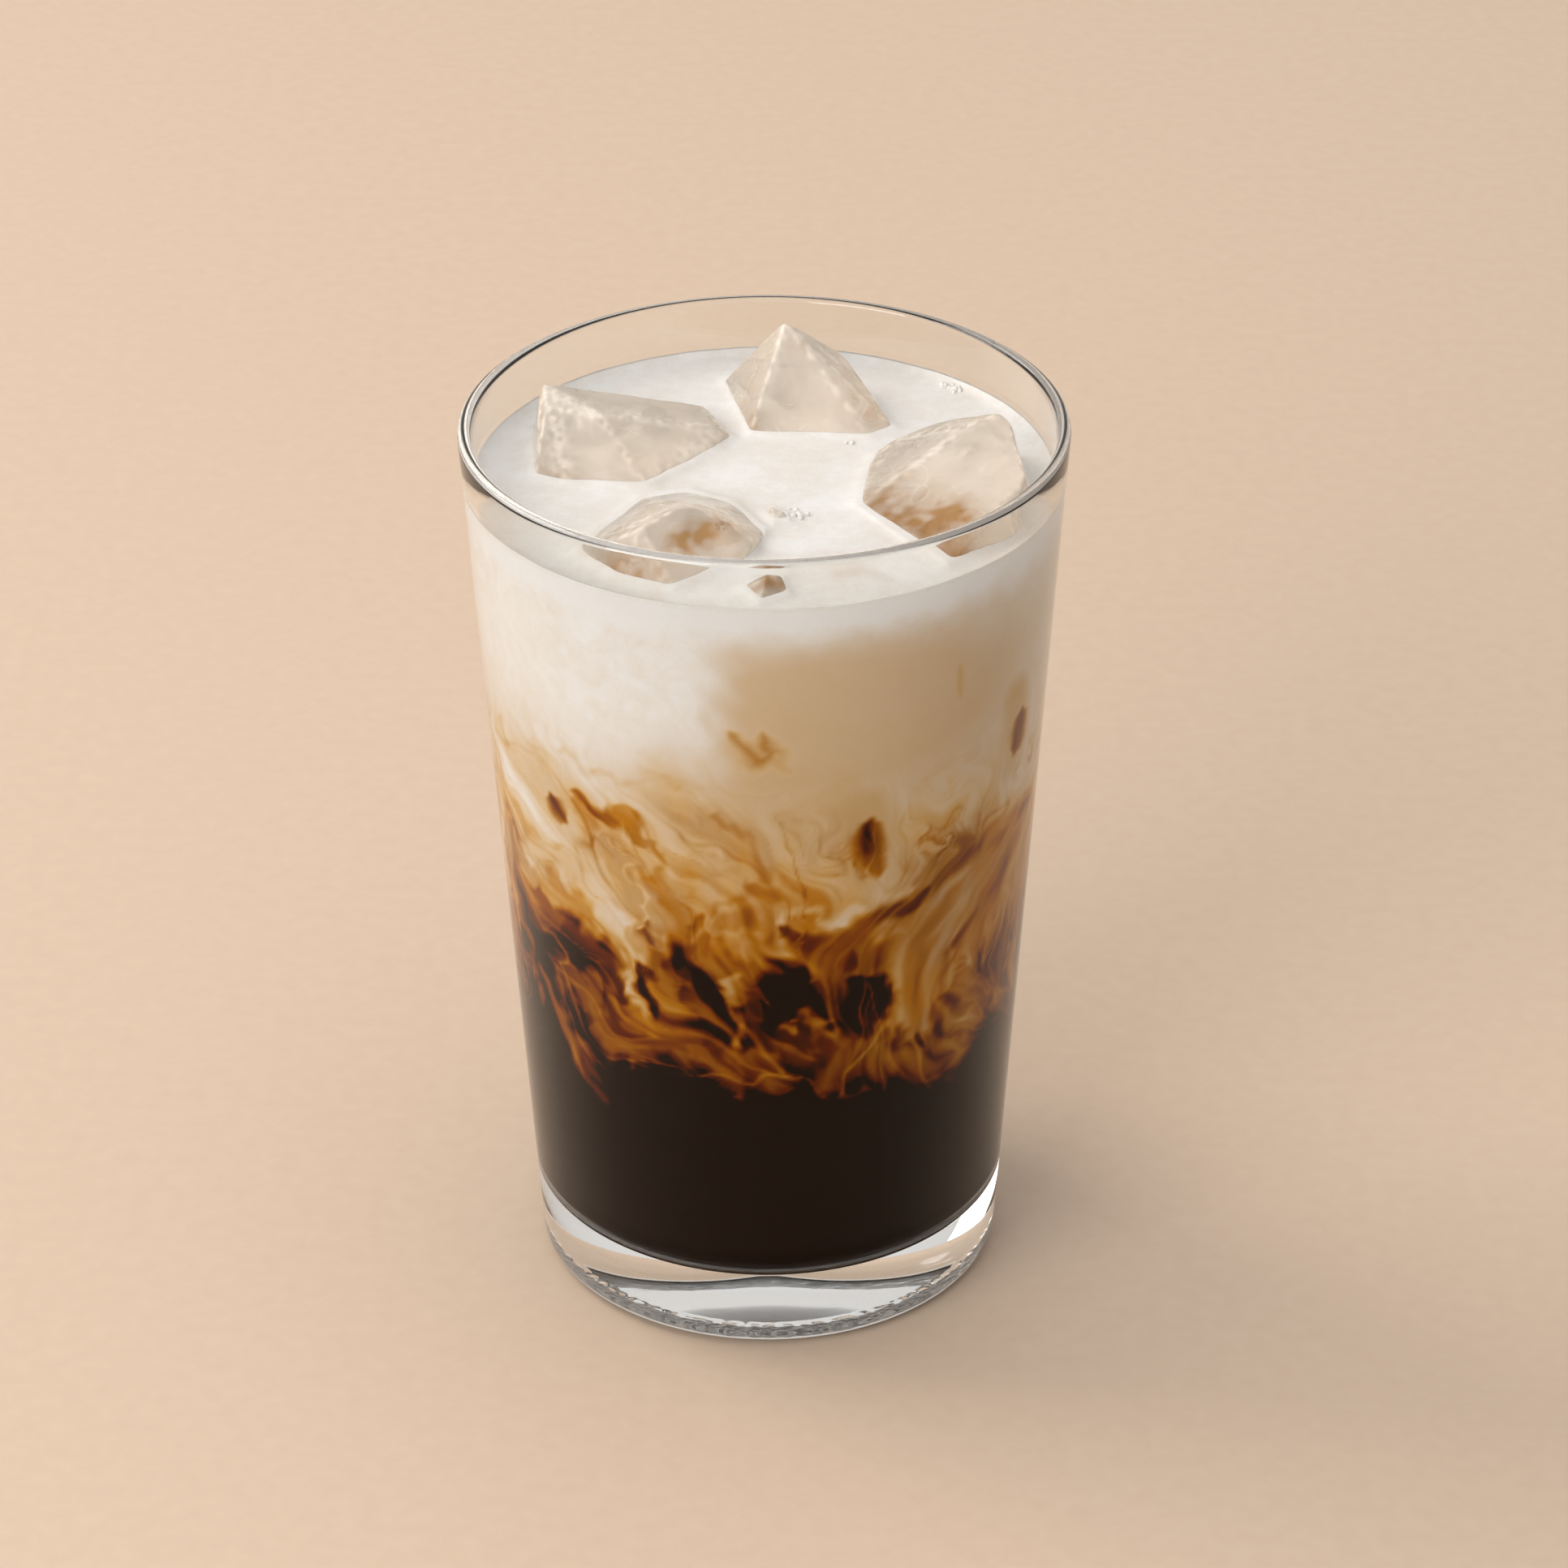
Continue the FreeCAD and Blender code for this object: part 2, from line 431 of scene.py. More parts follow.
PLUMES = (
    Plume("coffee_left", ((-60, 46), (-54, 37)), 7.0, 0.07, 1.2, blunt=True),
    Plume("coffee_mid", ((-34, 41), (-18, 45), (2, 48)), 6.0, 0.07, 1.0, blunt=True),
    Plume("coffee_right", ((21, 37), (38, 38), (60, 40)), 6.0, 0.07, 1.0, blunt=True),
    Plume("cream_field", ((-18, 90), (-9, 87), (0, 80)), 8.0, 0.67, 1.0, blunt=True),
    Plume("cream_low", ((-16, 76), (-7, 77), (2, 75)), 5.0, 0.56, 1.0, blunt=True),
    Plume("pocket_white", ((-63, 87), (-53, 86), (-45, 83)), 4.0, 0.74, 1.4),
    Plume("milk_tongue_left", ((-63, 75), (-47, 78), (-38, 72), (-31, 69)), 3.0, 0.72, 0.6),
    Plume("milk_tongue_left2", ((-37, 70), (-32, 67), (-30, 62), (-29, 56)), 1.5, 0.62, 0.5),
    Plume("brown_left", ((-60, 69), (-55, 66), (-48, 63), (-40, 63)), 3.2, 0.18, 0.5),
    Plume("amber_left", ((-57, 69), (-48, 69), (-42, 67)), 1.3, 0.49, 0.6),
    Plume("dark_left", ((-51, 62), (-40, 63), (-33, 59)), 4.0, 0.12, 0.6),
    Plume("dark_left2", ((-50, 52), (-45, 48)), 4.5, 0.09, 0.5),
    Plume("amber_spark", ((-45, 59), (-38, 59)), 1.5, 0.27, 0.5),
    Plume("left_strand", ((-76, 77), (-73, 63), (-65, 55), (-57, 50), (-49, 46), (-41, 38)),
          1.2, 0.38, 0.5),
    Plume("left_edge", ((-77, 84), (-80, 69), (-72, 59)), 1.6, 0.64, 0.6),
    Plume("amber_big", ((-37, 56), (-35, 51), (-31, 49)), 3.0, 0.22, 0.5),
    Plume("amber_arc", ((-31, 53), (-23, 56), (-17, 60)), 1.8, 0.28, 0.5),
    Plume("orange_fall", ((-24, 67), (-23, 61), (-19, 59)), 2.2, 0.28, 0.5),
    Plume("dark_slot", ((-27, 65), (-27, 57)), 1.2, 0.13, 0.4),
    Plume("dark_hook", ((-16, 69), (-18, 65), (-13, 63), (-10, 59), (-8, 52)), 2.9, 0.12, 0.4),
    Plume("orange_shelf", ((-13, 73), (-15, 68), (-8, 66), (3, 66)), 2.2, 0.26, 0.5),
    Plume("red_mid", ((-17, 58), (-13, 58)), 3.0, 0.15, 0.6),
    Plume("amber_bow", ((-37, 47), (-23, 52), (-14, 52), (-9, 48), (-9, 43), (-13, 39)),
          1.2, 0.22, 0.6),
    Plume("tooth", ((-6, 65), (-5, 60), (-6, 54)), 1.9, 0.49, 0.4),
    Plume("ice_edge", ((-43, 89), (-34, 89), (-27, 88), (-25, 85)), 1.3, 0.42, 0.4),
    Plume("ice_edge2", ((-25, 85), (-24, 81), (-21, 79)), 0.7, 0.52, 0.6),
    Plume("ice_edge3", ((-42, 88), (-39, 84), (-37, 80)), 1.4, 0.60, 0.5),
    Plume("thread1", ((-47, 96), (-37, 95), (-23, 95)), 0.5, 0.76, 0.9),
    Plume("thread2", ((-10, 93), (-5, 89), (0, 84), (-1, 82)), 0.6, 0.52, 0.7),
    Plume("thread3", ((-17, 83), (-12, 82), (-6, 84)), 0.6, 0.60, 0.7),
    Plume("thread4", ((-21, 90), (-17, 88), (-18, 84)), 0.6, 0.64, 0.8),
    Plume("orange_curl", ((-4, 81), (-2, 76), (-9, 73)), 2.2, 0.36, 0.7),
    Plume("wisp_top", ((-70, 93), (-65, 89), (-52, 92), (-51, 89)), 1.6, 0.76, 0.9),
    Plume("blob_orange", ((-6, 105), (-2, 101), (1, 101), (0, 105)), 1.7, 0.38, 1.8, veil=-1.00),
    Plume("blob_tail", ((1, 101), (5, 98)), 0.7, 0.62, 0.9, veil=-0.60),
    Plume("cream_under_right", ((53, 74), (44, 71), (36, 65), (31, 58), (31, 53)),
          6.0, 0.49, 0.5, blunt=True),
    Plume("cream_right2", ((61, 73), (57, 66), (50, 60), (42, 56)), 3.0, 0.46, 0.5),
    Plume("right_brown", ((70, 62), (66, 54), (65, 46)), 2.6, 0.29, 0.6),
    Plume("right_edge", ((76, 77), (73, 64), (74, 48)), 1.6, 0.49, 0.6),
    Plume("rim_pale", ((33, 76), (25, 75), (18, 73), (11, 73), (7, 76), (2, 75)), 0.8, 0.67, 0.6),
    Plume("amber_center", ((18, 69), (13, 68), (12, 63)), 3.4, 0.21, 0.5),
    Plume("red_center", ((8, 61), (13, 60), (18, 59)), 3.0, 0.14, 0.6),
    Plume("dark_center", ((7, 64), (2, 62), (-2, 57), (-2, 53)), 4.2, 0.09, 0.6),
    Plume("dark_column", ((21, 64), (23, 59), (20, 53), (19, 46)), 3.2, 0.09, 0.4),
    Plume("loop1", ((3, 56), (9, 57), (15, 58)), 0.7, 0.36, 0.7),
    Plume("loop2", ((14, 55), (17, 49), (13, 45)), 0.6, 0.21, 0.8),
    Plume("loop3", ((-5, 51), (1, 48), (5, 47)), 1.4, 0.25, 0.8),
    Plume("olive_mid", ((5, 54), (11, 53)), 3.4, 0.14, 0.9),
    Plume("hook_fill", ((46, 52), (53, 47), (47, 46)), 2.6, 0.32, 0.6),
    Plume("hook_dark", ((31, 53), (32, 50), (37, 48), (43, 46)), 0.9, 0.17, 0.5),
    Plume("dart", ((41, 55), (49, 54), (60, 52)), 0.9, 0.23, 0.5),
    Plume("dart_fill", ((45, 56), (55, 56)), 1.6, 0.32, 0.6),
    Plume("amber_low", ((35, 47), (42, 44), (50, 45)), 2.2, 0.25, 0.6),
    Plume("amber_low2", ((24, 53), (25, 46)), 2.6, 0.23, 0.6),
    Plume("amber_low3", ((35, 46), (40, 40)), 2.0, 0.22, 0.7),
    Plume("strand_low", ((50, 45), (48, 39), (44, 35)), 0.6, 0.29, 0.8),
    Plume("dark_right", ((57, 40), (65, 43)), 4.9, 0.10, 0.7),
    Plume("bulb", ((3, 74), (4, 73)), 0.7, 0.27, 0.6),
    Plume("line_high", ((77, 78), (57, 78), (45, 78), (36, 75)), 1.9, 0.34, 0.9, still=True),
    Plume("line_patch", ((43, 80), (49, 80)), 2.0, 0.34, 0.8, still=True),
    Plume("line_low", ((36, 75), (32, 73), (24, 73), (18, 70), (10, 70), (3, 73)),
          1.5, 0.18, 0.6, still=True),
    Plume("ice_streak", ((-35, 85), (-30, 79), (-27, 74), (-23, 69)), 1.8, 0.49, 0.7, veil=0.75),
    Plume("ice_speck", ((-26, 72), (-23, 69)), 1.3, 0.20, 0.9),
    Plume("ice_line", ((-34, 85), (-28, 78), (-26, 71)), 0.3, 0.81, 0.6, veil=0.20),
    Plume("window_left_halo", ((-51, 88), (-45, 83)),
          1.9, 0.83, 0.8, veil=0.40, blunt=True, still=True),
    Plume("window_left", ((-50, 87), (-46, 84)), 1.5, 0.24, 0.9, veil=-1.00, still=True),
    Plume("window_middle_halo", ((21, 91), (26, 78)),
          2.8, 0.69, 0.8, veil=0.55, blunt=True, still=True),
    Plume("window_middle", ((22, 89), (22, 85), (24, 80)),
          2.0, 0.25, 0.8, veil=-1.00, still=True),
    Plume("window_right_halo", ((61, 99), (61, 89)),
          3.0, 0.74, 0.8, veil=0.50, blunt=True, still=True),
    Plume("window_right", ((64, 96), (62, 90)), 2.2, 0.22, 0.8, veil=-1.00, still=True),
    Plume("faint_mark", ((41, 110), (42, 105)), 0.4, 0.56, 0.9, still=True),
)


# Tone of the plain layers, by height above the border between coffee and milk.
LAYERS = ((-14, 0.06), (-8, 0.09), (-2, 0.125), (6, 0.17), (14, 0.25), (22, 0.38), (30, 0.54),
          (40, 0.72), (50, 0.90), (60, 0.97))


@dataclass(frozen=True)
class Thread:
    """Threads of one thickness: specks drawn out along the flow, in millimetres.

    They shade the tone a little, less where it is dark, and each carries a line that grows
    thinner as it grows stronger.
    """

    speck: float
    run: float
    step: float
    shade: float
    least: float
    line: float
    spread: float


THREADS = (Thread(0.45, 7.0, 0.4, 0.030, 0.3, 0.07, 0.25),
           Thread(1.1, 14.0, 0.7, 0.045, 0.2, 0.12, 0.16),
           Thread(2.4, 14.0, 1.2, 0.040, 0.2, 0.16, 0.09))


@dataclass(frozen=True)
class Patch:
    """A soft patch on the wall, by its middle and its spread, in degrees and millimetres."""

    turn: float
    z: float
    wide: float
    tall: float

    def at(self, turn: Array, z: Array) -> Array:
        """Strength of the patch, from 0 to 1."""
        return np.exp(-((turn - self.turn) / self.wide) ** 2 - ((z - self.z) / self.tall) ** 2)


# Painted shade: the first patch is a tan veil that darkens the milk on the right side of the glass.
RIGHT_SIDE_SHADE = Patch(14.0, 106.0, 56.0, 15.0)
GREY = Patch(40.0, 63.0, 14.0, 12.0)


@dataclass
class Marbling:
    """The pattern that milk makes as it sinks through coffee, laid out on the wall.

    It is a grid round the wall. The layers and plumes are painted in bent coordinates, and
    threads are then drawn out along the flow that the plumes and the eddies give.
    """

    cell: float = 0.32
    low: float = 8.0
    high: float = 126.0
    radius: float = 38.0
    eddy: float = 0.9
    small_eddy: float = 0.8
    ragged: float = 0.35
    seed: int = 7
    tone: Array = field(init=False)
    haze: Array = field(init=False)
    amber: Array = field(init=False)

    def __post_init__(self) -> None:
        """Lays out the grid and computes the fields."""
        self.columns = int(round(2.0 * math.pi * self.radius / self.cell))
        self.rows = int((self.high - self.low) / self.cell) + 1
        along = (np.arange(self.columns) / self.columns - 0.5) * 2.0 * math.pi * self.radius
        up = self.low + np.arange(self.rows) * self.cell
        self.s, self.z = np.meshgrid(along, up)
        self.turn = np.degrees(self.s / self.radius)
        rng = np.random.default_rng(self.seed)
        self.wide = self._curl(self._modes(rng, 40, 12.0, 40.0))
        self.tight = self._curl(self._modes(rng, 60, 4.0, 11.0))
        self.crumb = self._curl(self._modes(rng, 60, 1.6, 4.0))
        self._paint()
        self._draw_threads(rng)
        self._tint()

    def _modes(self, rng: np.random.Generator, count: int, shortest: float,
               longest: float) -> list[tuple[float, float, float, float]]:
        """Draws random waves that close round the wall.

        Args:
            rng: Where the numbers come from.
            count: How many waves.
            shortest: Shortest wavelength.
            longest: Longest wavelength.

        Returns:
            Wave number along the wall, wave number up it, phase and wavelength of each.
        """
        out = []
        for _ in range(count):
            length = math.exp(rng.uniform(math.log(shortest), math.log(longest)))
            way = rng.uniform(0.0, 2.0 * math.pi)
            number = 2.0 * math.pi / length
            around = round(number * math.cos(way) * self.radius) / self.radius
            out.append((around, number * math.sin(way), rng.uniform(0.0, 2.0 * math.pi), length))
        return out

    def _curl(self, modes: list[tuple[float, float, float, float]]) -> tuple[Array, Array]:
        """Gives the swirling flow, about 1 in size, that these waves make as a stream function."""
        across = np.zeros_like(self.s)
        rise = np.zeros_like(self.s)
        for around, number, phase, length in modes:
            pull = -np.sin(around * self.s + number * self.z + phase) * length
            across += pull * number
            rise -= pull * around
        scale = 2.0 * math.pi * math.sqrt(len(modes) / 2.0)
        return across / scale, rise / scale

    def sample(self, grid: Array, column: Array, row: Array) -> Array:
        """Reads a grid between its cells, wrapping round the wall."""
        row = np.clip(row, 0.0, self.rows - 1.001)
        i = np.floor(row).astype(int)
        a = row - i
        j = np.floor(column).astype(int)
        b = column - j
        left, right = j % self.columns, (j + 1) % self.columns
        return (grid[i, left] * (1 - a) * (1 - b) + grid[i, right] * (1 - a) * b
                + grid[i + 1, left] * a * (1 - b) + grid[i + 1, right] * a * b)

    def read(self, grid: Array, turn: Array, z: Array) -> Array:
        """Reads a grid at wall positions in degrees and millimetres."""
        return self.sample(grid, (turn / 360.0 + 0.5) * self.columns, (z - self.low) / self.cell)

    def _bent(self, steps: int = 10) -> tuple[Array, Array]:
        """Carries each cell back along the eddies, to bend what is painted next."""
        calm = smooth(34.0, 56.0, self.z) * (1.0 - 0.75 * smooth(88.0, 108.0, self.z))
        across, rise = (calm * (self.wide[i] * self.eddy + self.tight[i] * self.small_eddy
                                + self.crumb[i] * self.ragged) for i in (0, 1))
        column = (self.s / (2.0 * math.pi * self.radius) + 0.5) * self.columns
        row = (self.z - self.low) / self.cell
        for _ in range(steps):
            a = self.sample(across, column, row)
            b = self.sample(rise, column, row)
            column = column - a / steps / self.cell
            row = row - b / steps / self.cell
        return ((column / self.columns - 0.5) * 2.0 * math.pi * self.radius,
                row * self.cell + self.low)

    def _layers(self, s: Array, z: Array) -> Array:
        """Tone of the plain layers: coffee below, milk above, thinning in between."""
        edge = 47.0 + 3.0 * np.sin(3.0 * s / self.radius + 1.0) + 2.0 * np.sin(
            7.0 * s / self.radius + 2.0)
        return np.interp(z - edge, *zip(*LAYERS))

    def _wander(self, plume: Plume, seed: int) -> list[Array]:
        """Bends a plume's path a little between its points and rounds its corners."""
        rng = np.random.default_rng(seed)
        path = [np.array([math.radians(t) * self.radius, z]) for t, z in plume.path]
        for _ in range(3):
            out = [path[0]]
            for a, b in zip(path[:-1], path[1:]):
                d = b - a
                out += [(a + b) / 2.0 + np.array([-d[1], d[0]]) * 0.10 * rng.uniform(-1, 1), b]
            path = out
        rounded = [path[0]]
        for a, b in zip(path[:-1], path[1:]):
            rounded += [a * 0.75 + b * 0.25, a * 0.25 + b * 0.75]
        return rounded + [path[-1]]

    def _near(self, s: Array, z: Array, path: list[Array]) -> tuple[Array, Array, Array, Array]:
        """Distance to a path, the direction of its nearest part and how far along that is."""
        best = np.full(s.shape, 1e9)
        across = np.zeros_like(s)
        rise = np.zeros_like(s)
        share = np.zeros_like(s)
        for i, (a, b) in enumerate(zip(path[:-1], path[1:])):
            d = b - a
            length = math.hypot(d[0], d[1]) + 1e-9
            t = np.clip(((s - a[0]) * d[0] + (z - a[1]) * d[1]) / length ** 2, 0.0, 1.0)
            away = np.hypot(s - a[0] - t * d[0], z - a[1] - t * d[1])
            nearer = away < best
            best = np.where(nearer, away, best)
            across = np.where(nearer, d[0] / length, across)
            rise = np.where(nearer, d[1] / length, rise)
            share = np.where(nearer, (i + t) / (len(path) - 1), share)
        return best, across, rise, share

    def _paint(self) -> None:
        """Paints the layers and the plumes, and gathers the flow along them."""
        s, z = self._bent()
        self.tone = self._layers(s, z)
        self.flow = np.zeros((2,) + s.shape)
        self.veil = np.zeros_like(s)
        for seed, plume in enumerate(PLUMES):
            path = self._wander(plume, seed)
            reach = 4.0 * plume.width + 6.0
            low, high = np.min(path, axis=0) - reach, np.max(path, axis=0) + reach
            across, rise = (self.s, self.z) if plume.still else (s, z)
            part = ((across > low[0]) & (across < high[0]) & (rise > low[1]) & (rise < high[1]))
            rise_at = rise[part]
            away, across, rise, share = self._near(across[part], rise_at, path)
            width = plume.width * (1.0 if plume.blunt else
                                   0.3 + 0.8 * (4.0 * share * (1.0 - share)) ** 0.5)
            spread = 2.4 * (1.0 - smooth(46.0, 60.0, rise_at))
            cover = 0.94 * (1.0 - smooth(width * (1.0 - plume.softness * 0.8) - 0.2,
                                         width * (1.0 + plume.softness * 0.6) + 0.4 + spread,
                                         away))
            if plume.tone > 0.12:
                cover *= 0.25 + 0.75 * smooth(35.0, 50.0, rise_at)
            self.tone[part] = self.tone[part] * (1.0 - cover) + plume.tone * cover
            self.veil[part] = self.veil[part] * (1.0 - cover) + plume.veil * cover
            pull = 1.5 * np.exp(-(away / (plume.width * 1.2 + 1.2)) ** 2)
            self.flow[0][part] += pull * across
            self.flow[1][part] += pull * rise
        self.flow[0] += 0.45 * self.wide[0] + 0.55 * self.tight[0]
        self.flow[1] += 0.45 * self.wide[1] + 0.55 * self.tight[1] - 0.2
        for _ in range(3):
            for axis in (1, 2):
                self.flow = (np.roll(self.flow, 1, axis) + 2.0 * self.flow
                             + np.roll(self.flow, -1, axis)) / 4.0
        self.flow /= np.hypot(self.flow[0], self.flow[1]) + 1e-6

    def _speckle(self, rng: np.random.Generator, size: float) -> Array:
        """Gives random specks of this size in millimetres, with mean 0 and spread 1."""
        spots = np.fft.rfft2(rng.standard_normal(self.s.shape))
        across = np.fft.rfftfreq(self.columns)[None]
        rise = np.fft.fftfreq(self.rows)[:, None]
        blur = np.exp(-2.0 * (math.pi * size / self.cell) ** 2 * (across ** 2 + rise ** 2))
        out = np.fft.irfft2(spots * blur, self.s.shape)
        return (out - out.mean()) / out.std()

    def _drawn(self, specks: Array, length: float, step: float) -> Array:
        """Draws specks out into threads along the flow.

        Args:
            specks: The grid of specks.
            length: How far each thread runs both ways, in millimetres.
            step: Length of one step.

        Returns:
            The threads, with mean 0 and spread 1.
        """
        total = specks.copy()
        start_column, start_row = np.meshgrid(np.arange(self.columns), np.arange(self.rows))
        for sign in (1.0, -1.0):
            column, row = start_column.astype(float), start_row.astype(float)
            for k in range(int(length / step)):
                a = self.sample(self.flow[0], column, row)
                b = self.sample(self.flow[1], column, row)
                column = column + sign * a * step / self.cell
                row = row + sign * b * step / self.cell
                total += (1.0 - k * step / length) * self.sample(specks, column, row)
        return (total - total.mean()) / total.std()

    def _draw_threads(self, rng: np.random.Generator) -> None:
        """Adds fine, middling and broad threads where coffee and milk meet."""
        drawn = [self._drawn(self._speckle(rng, t.speck), t.run, t.step) for t in THREADS]
        blend = np.maximum(smooth(0.08, 0.30, self.tone), 0.3 * smooth(38.0, 52.0, self.z))
        zone = smooth(32.0, 47.0, self.z) * (1.0 - 0.85 * smooth(84.0, 100.0, self.z))
        pale = smooth(0.35, 0.60, self.tone)
        line = np.where(pale > 0.5, -1.0, 0.85) * np.abs(pale - 0.5) * 2.0
        tone = self.tone.copy()
        for thread, grid in zip(THREADS, drawn):
            tone += zone * thread.shade * grid * (thread.least + blend)
            tone += zone * line * thread.line * np.exp(-(grid / thread.spread) ** 2)
        band = smooth(118.2, 122.6, self.z + 0.6 * self.tight[1])
        # Painted light: the coffee is lifted a little below 20 mm, for the light that comes up
        # through the thick base.
        tone += 0.04 * (1.0 - smooth(10.0, 20.0, self.z))
        self.tone = np.clip(tone + (1.0 - tone) * band, 0.03, 1.0)

    def _tint(self) -> None:
        """Lays out the tan veil, painted shade on the right side of the milk together with the
        plumes' own veils, and where the brown glows.
        """
        side = smooth(-15.0, -3.0, self.turn + 1.2 * self.tight[0])
        band = 1.0 - smooth(116.5, 122.0, self.z + 0.6 * self.tight[1])
        # Painted shade: the veil on the right side, strongest high in the milk.
        thick = np.minimum(1.15 * RIGHT_SIDE_SHADE.at(self.turn, self.z), 0.78)
        self.haze = np.clip(thick * side * band + self.veil, 0.0, 1.0)
        grey = GREY.at(self.turn, self.z)
        self.amber = np.clip(0.90 - 0.40 * smooth(68.0, 84.0, self.z)
                             - 0.45 * smooth(86.0, 98.0, self.z) - 0.5 * grey
                             + 0.4 * (self.wide[0] + 0.5 * self.tight[1]), 0.0, 1.0)


# ---------------------------------------------------------------- finishes


@dataclass(frozen=True)
class StippledGlass:
    """The foot of pressed glass, roughened in the mould so that it doesn't slide.

    The dots scatter light, so the foot reads as a bright silvery band through the base.
    """

    ior: float = 1.52
    dot_mm: float = 0.9

    def build(self) -> bpy.types.Material:
        """Makes the material."""
        material, tree = new_material("soda_lime_glass_stippled")
        dots = add(tree, "ShaderNodeTexVoronoi", {"Scale": per_metre(self.dot_mm)},
                   {"Vector": coordinates(tree)})
        bump = add(tree, "ShaderNodeBump", {"Strength": 0.8, "Distance": 0.3 * MM},
                   {"Height": dots.outputs["Distance"]})
        shade = add(tree, "ShaderNodeValToRGB",
                    {"stops": [(0.1, linear("FFFFFF")), (0.7, linear("D4D8DA"))]},
                    {"Fac": dots.outputs["Distance"]})
        shader = add(tree, "ShaderNodeBsdfPrincipled",
                     {"Transmission Weight": 0.5, "IOR": self.ior, "Roughness": 0.3},
                     {"Base Color": shade.outputs["Color"], "Normal": bump.outputs["Normal"]})
        finish_surface(tree, shader)
        return material


@dataclass(frozen=True)
class PolishedGlass:
    """Pressed soda-lime glass with a fire-polished skin.

    It is colourless, with faint waviness from the mould, so edges carry the dark and bright
    lines and the walls stay clear. Where the drink wets the wall its sheen is weaker, because
    glass reflects less against water than against air.
    """

    name: str = "soda_lime_glass_fire_polished"
    sheen: str = "FFFFFF"
    ior: float = 1.52
    colour: str = "FCFDFC"
    wave_mm: float = 14.0

    def build(self) -> bpy.types.Material:
        """Makes the material."""
        material, tree = new_material(self.name)
        place = coordinates(tree)
        wave = add(tree, "ShaderNodeTexNoise", {"Scale": per_metre(self.wave_mm), "Detail": 1.0},
                   {"Vector": place})
        bump = add(tree, "ShaderNodeBump", {"Strength": 0.04, "Distance": 0.2 * MM},
                   {"Height": wave.outputs["Fac"]})
        smear = add(tree, "ShaderNodeMapRange", {"To Min": 0.0, "To Max": 0.012},
                    {"Value": wave.outputs["Fac"]})
        shader = add(tree, "ShaderNodeBsdfPrincipled",
                     {"Base Color": linear(self.colour), "Transmission Weight": 1.0,
                      "IOR": self.ior, "Specular Tint": linear(self.sheen)},
                     {"Roughness": smear.outputs["Result"], "Normal": bump.outputs["Normal"]})
        finish_surface(tree, shader)
        return material


# Light that glass passes from what touches it, light that it sends back there, and its sheen
# over the top, each as a share. The last are the darkest red, green and blue that are left.
GLASS_PASSED, GLASS_RETURNED = 0.352, 0.596
GLASS_SHEEN = (0.042, 0.021, 0.014)
GLASS_DARKEST = (0.004, 0.0012, 0.0004)


def behind_glass(colour: str) -> tuple[float, ...]:
    """Lightens a colour for a surface that touches the glass it is seen through.

    Glass sends much of the light that leaves such a surface back to it, which deepens its
    colour, as water deepens a cloth's, and its own sheen lies over it.

    Args:
        colour: The sRGB hex colour that is to be seen.

    Returns:
        The linear colour of the surface itself.
    """
    seen = [max(low, c - over) for c, over, low in
            zip(linear(colour)[:3], GLASS_SHEEN, GLASS_DARKEST)]
    return tuple(min(0.985, c / (GLASS_PASSED + GLASS_RETURNED * c)) for c in seen) + (1.0,)


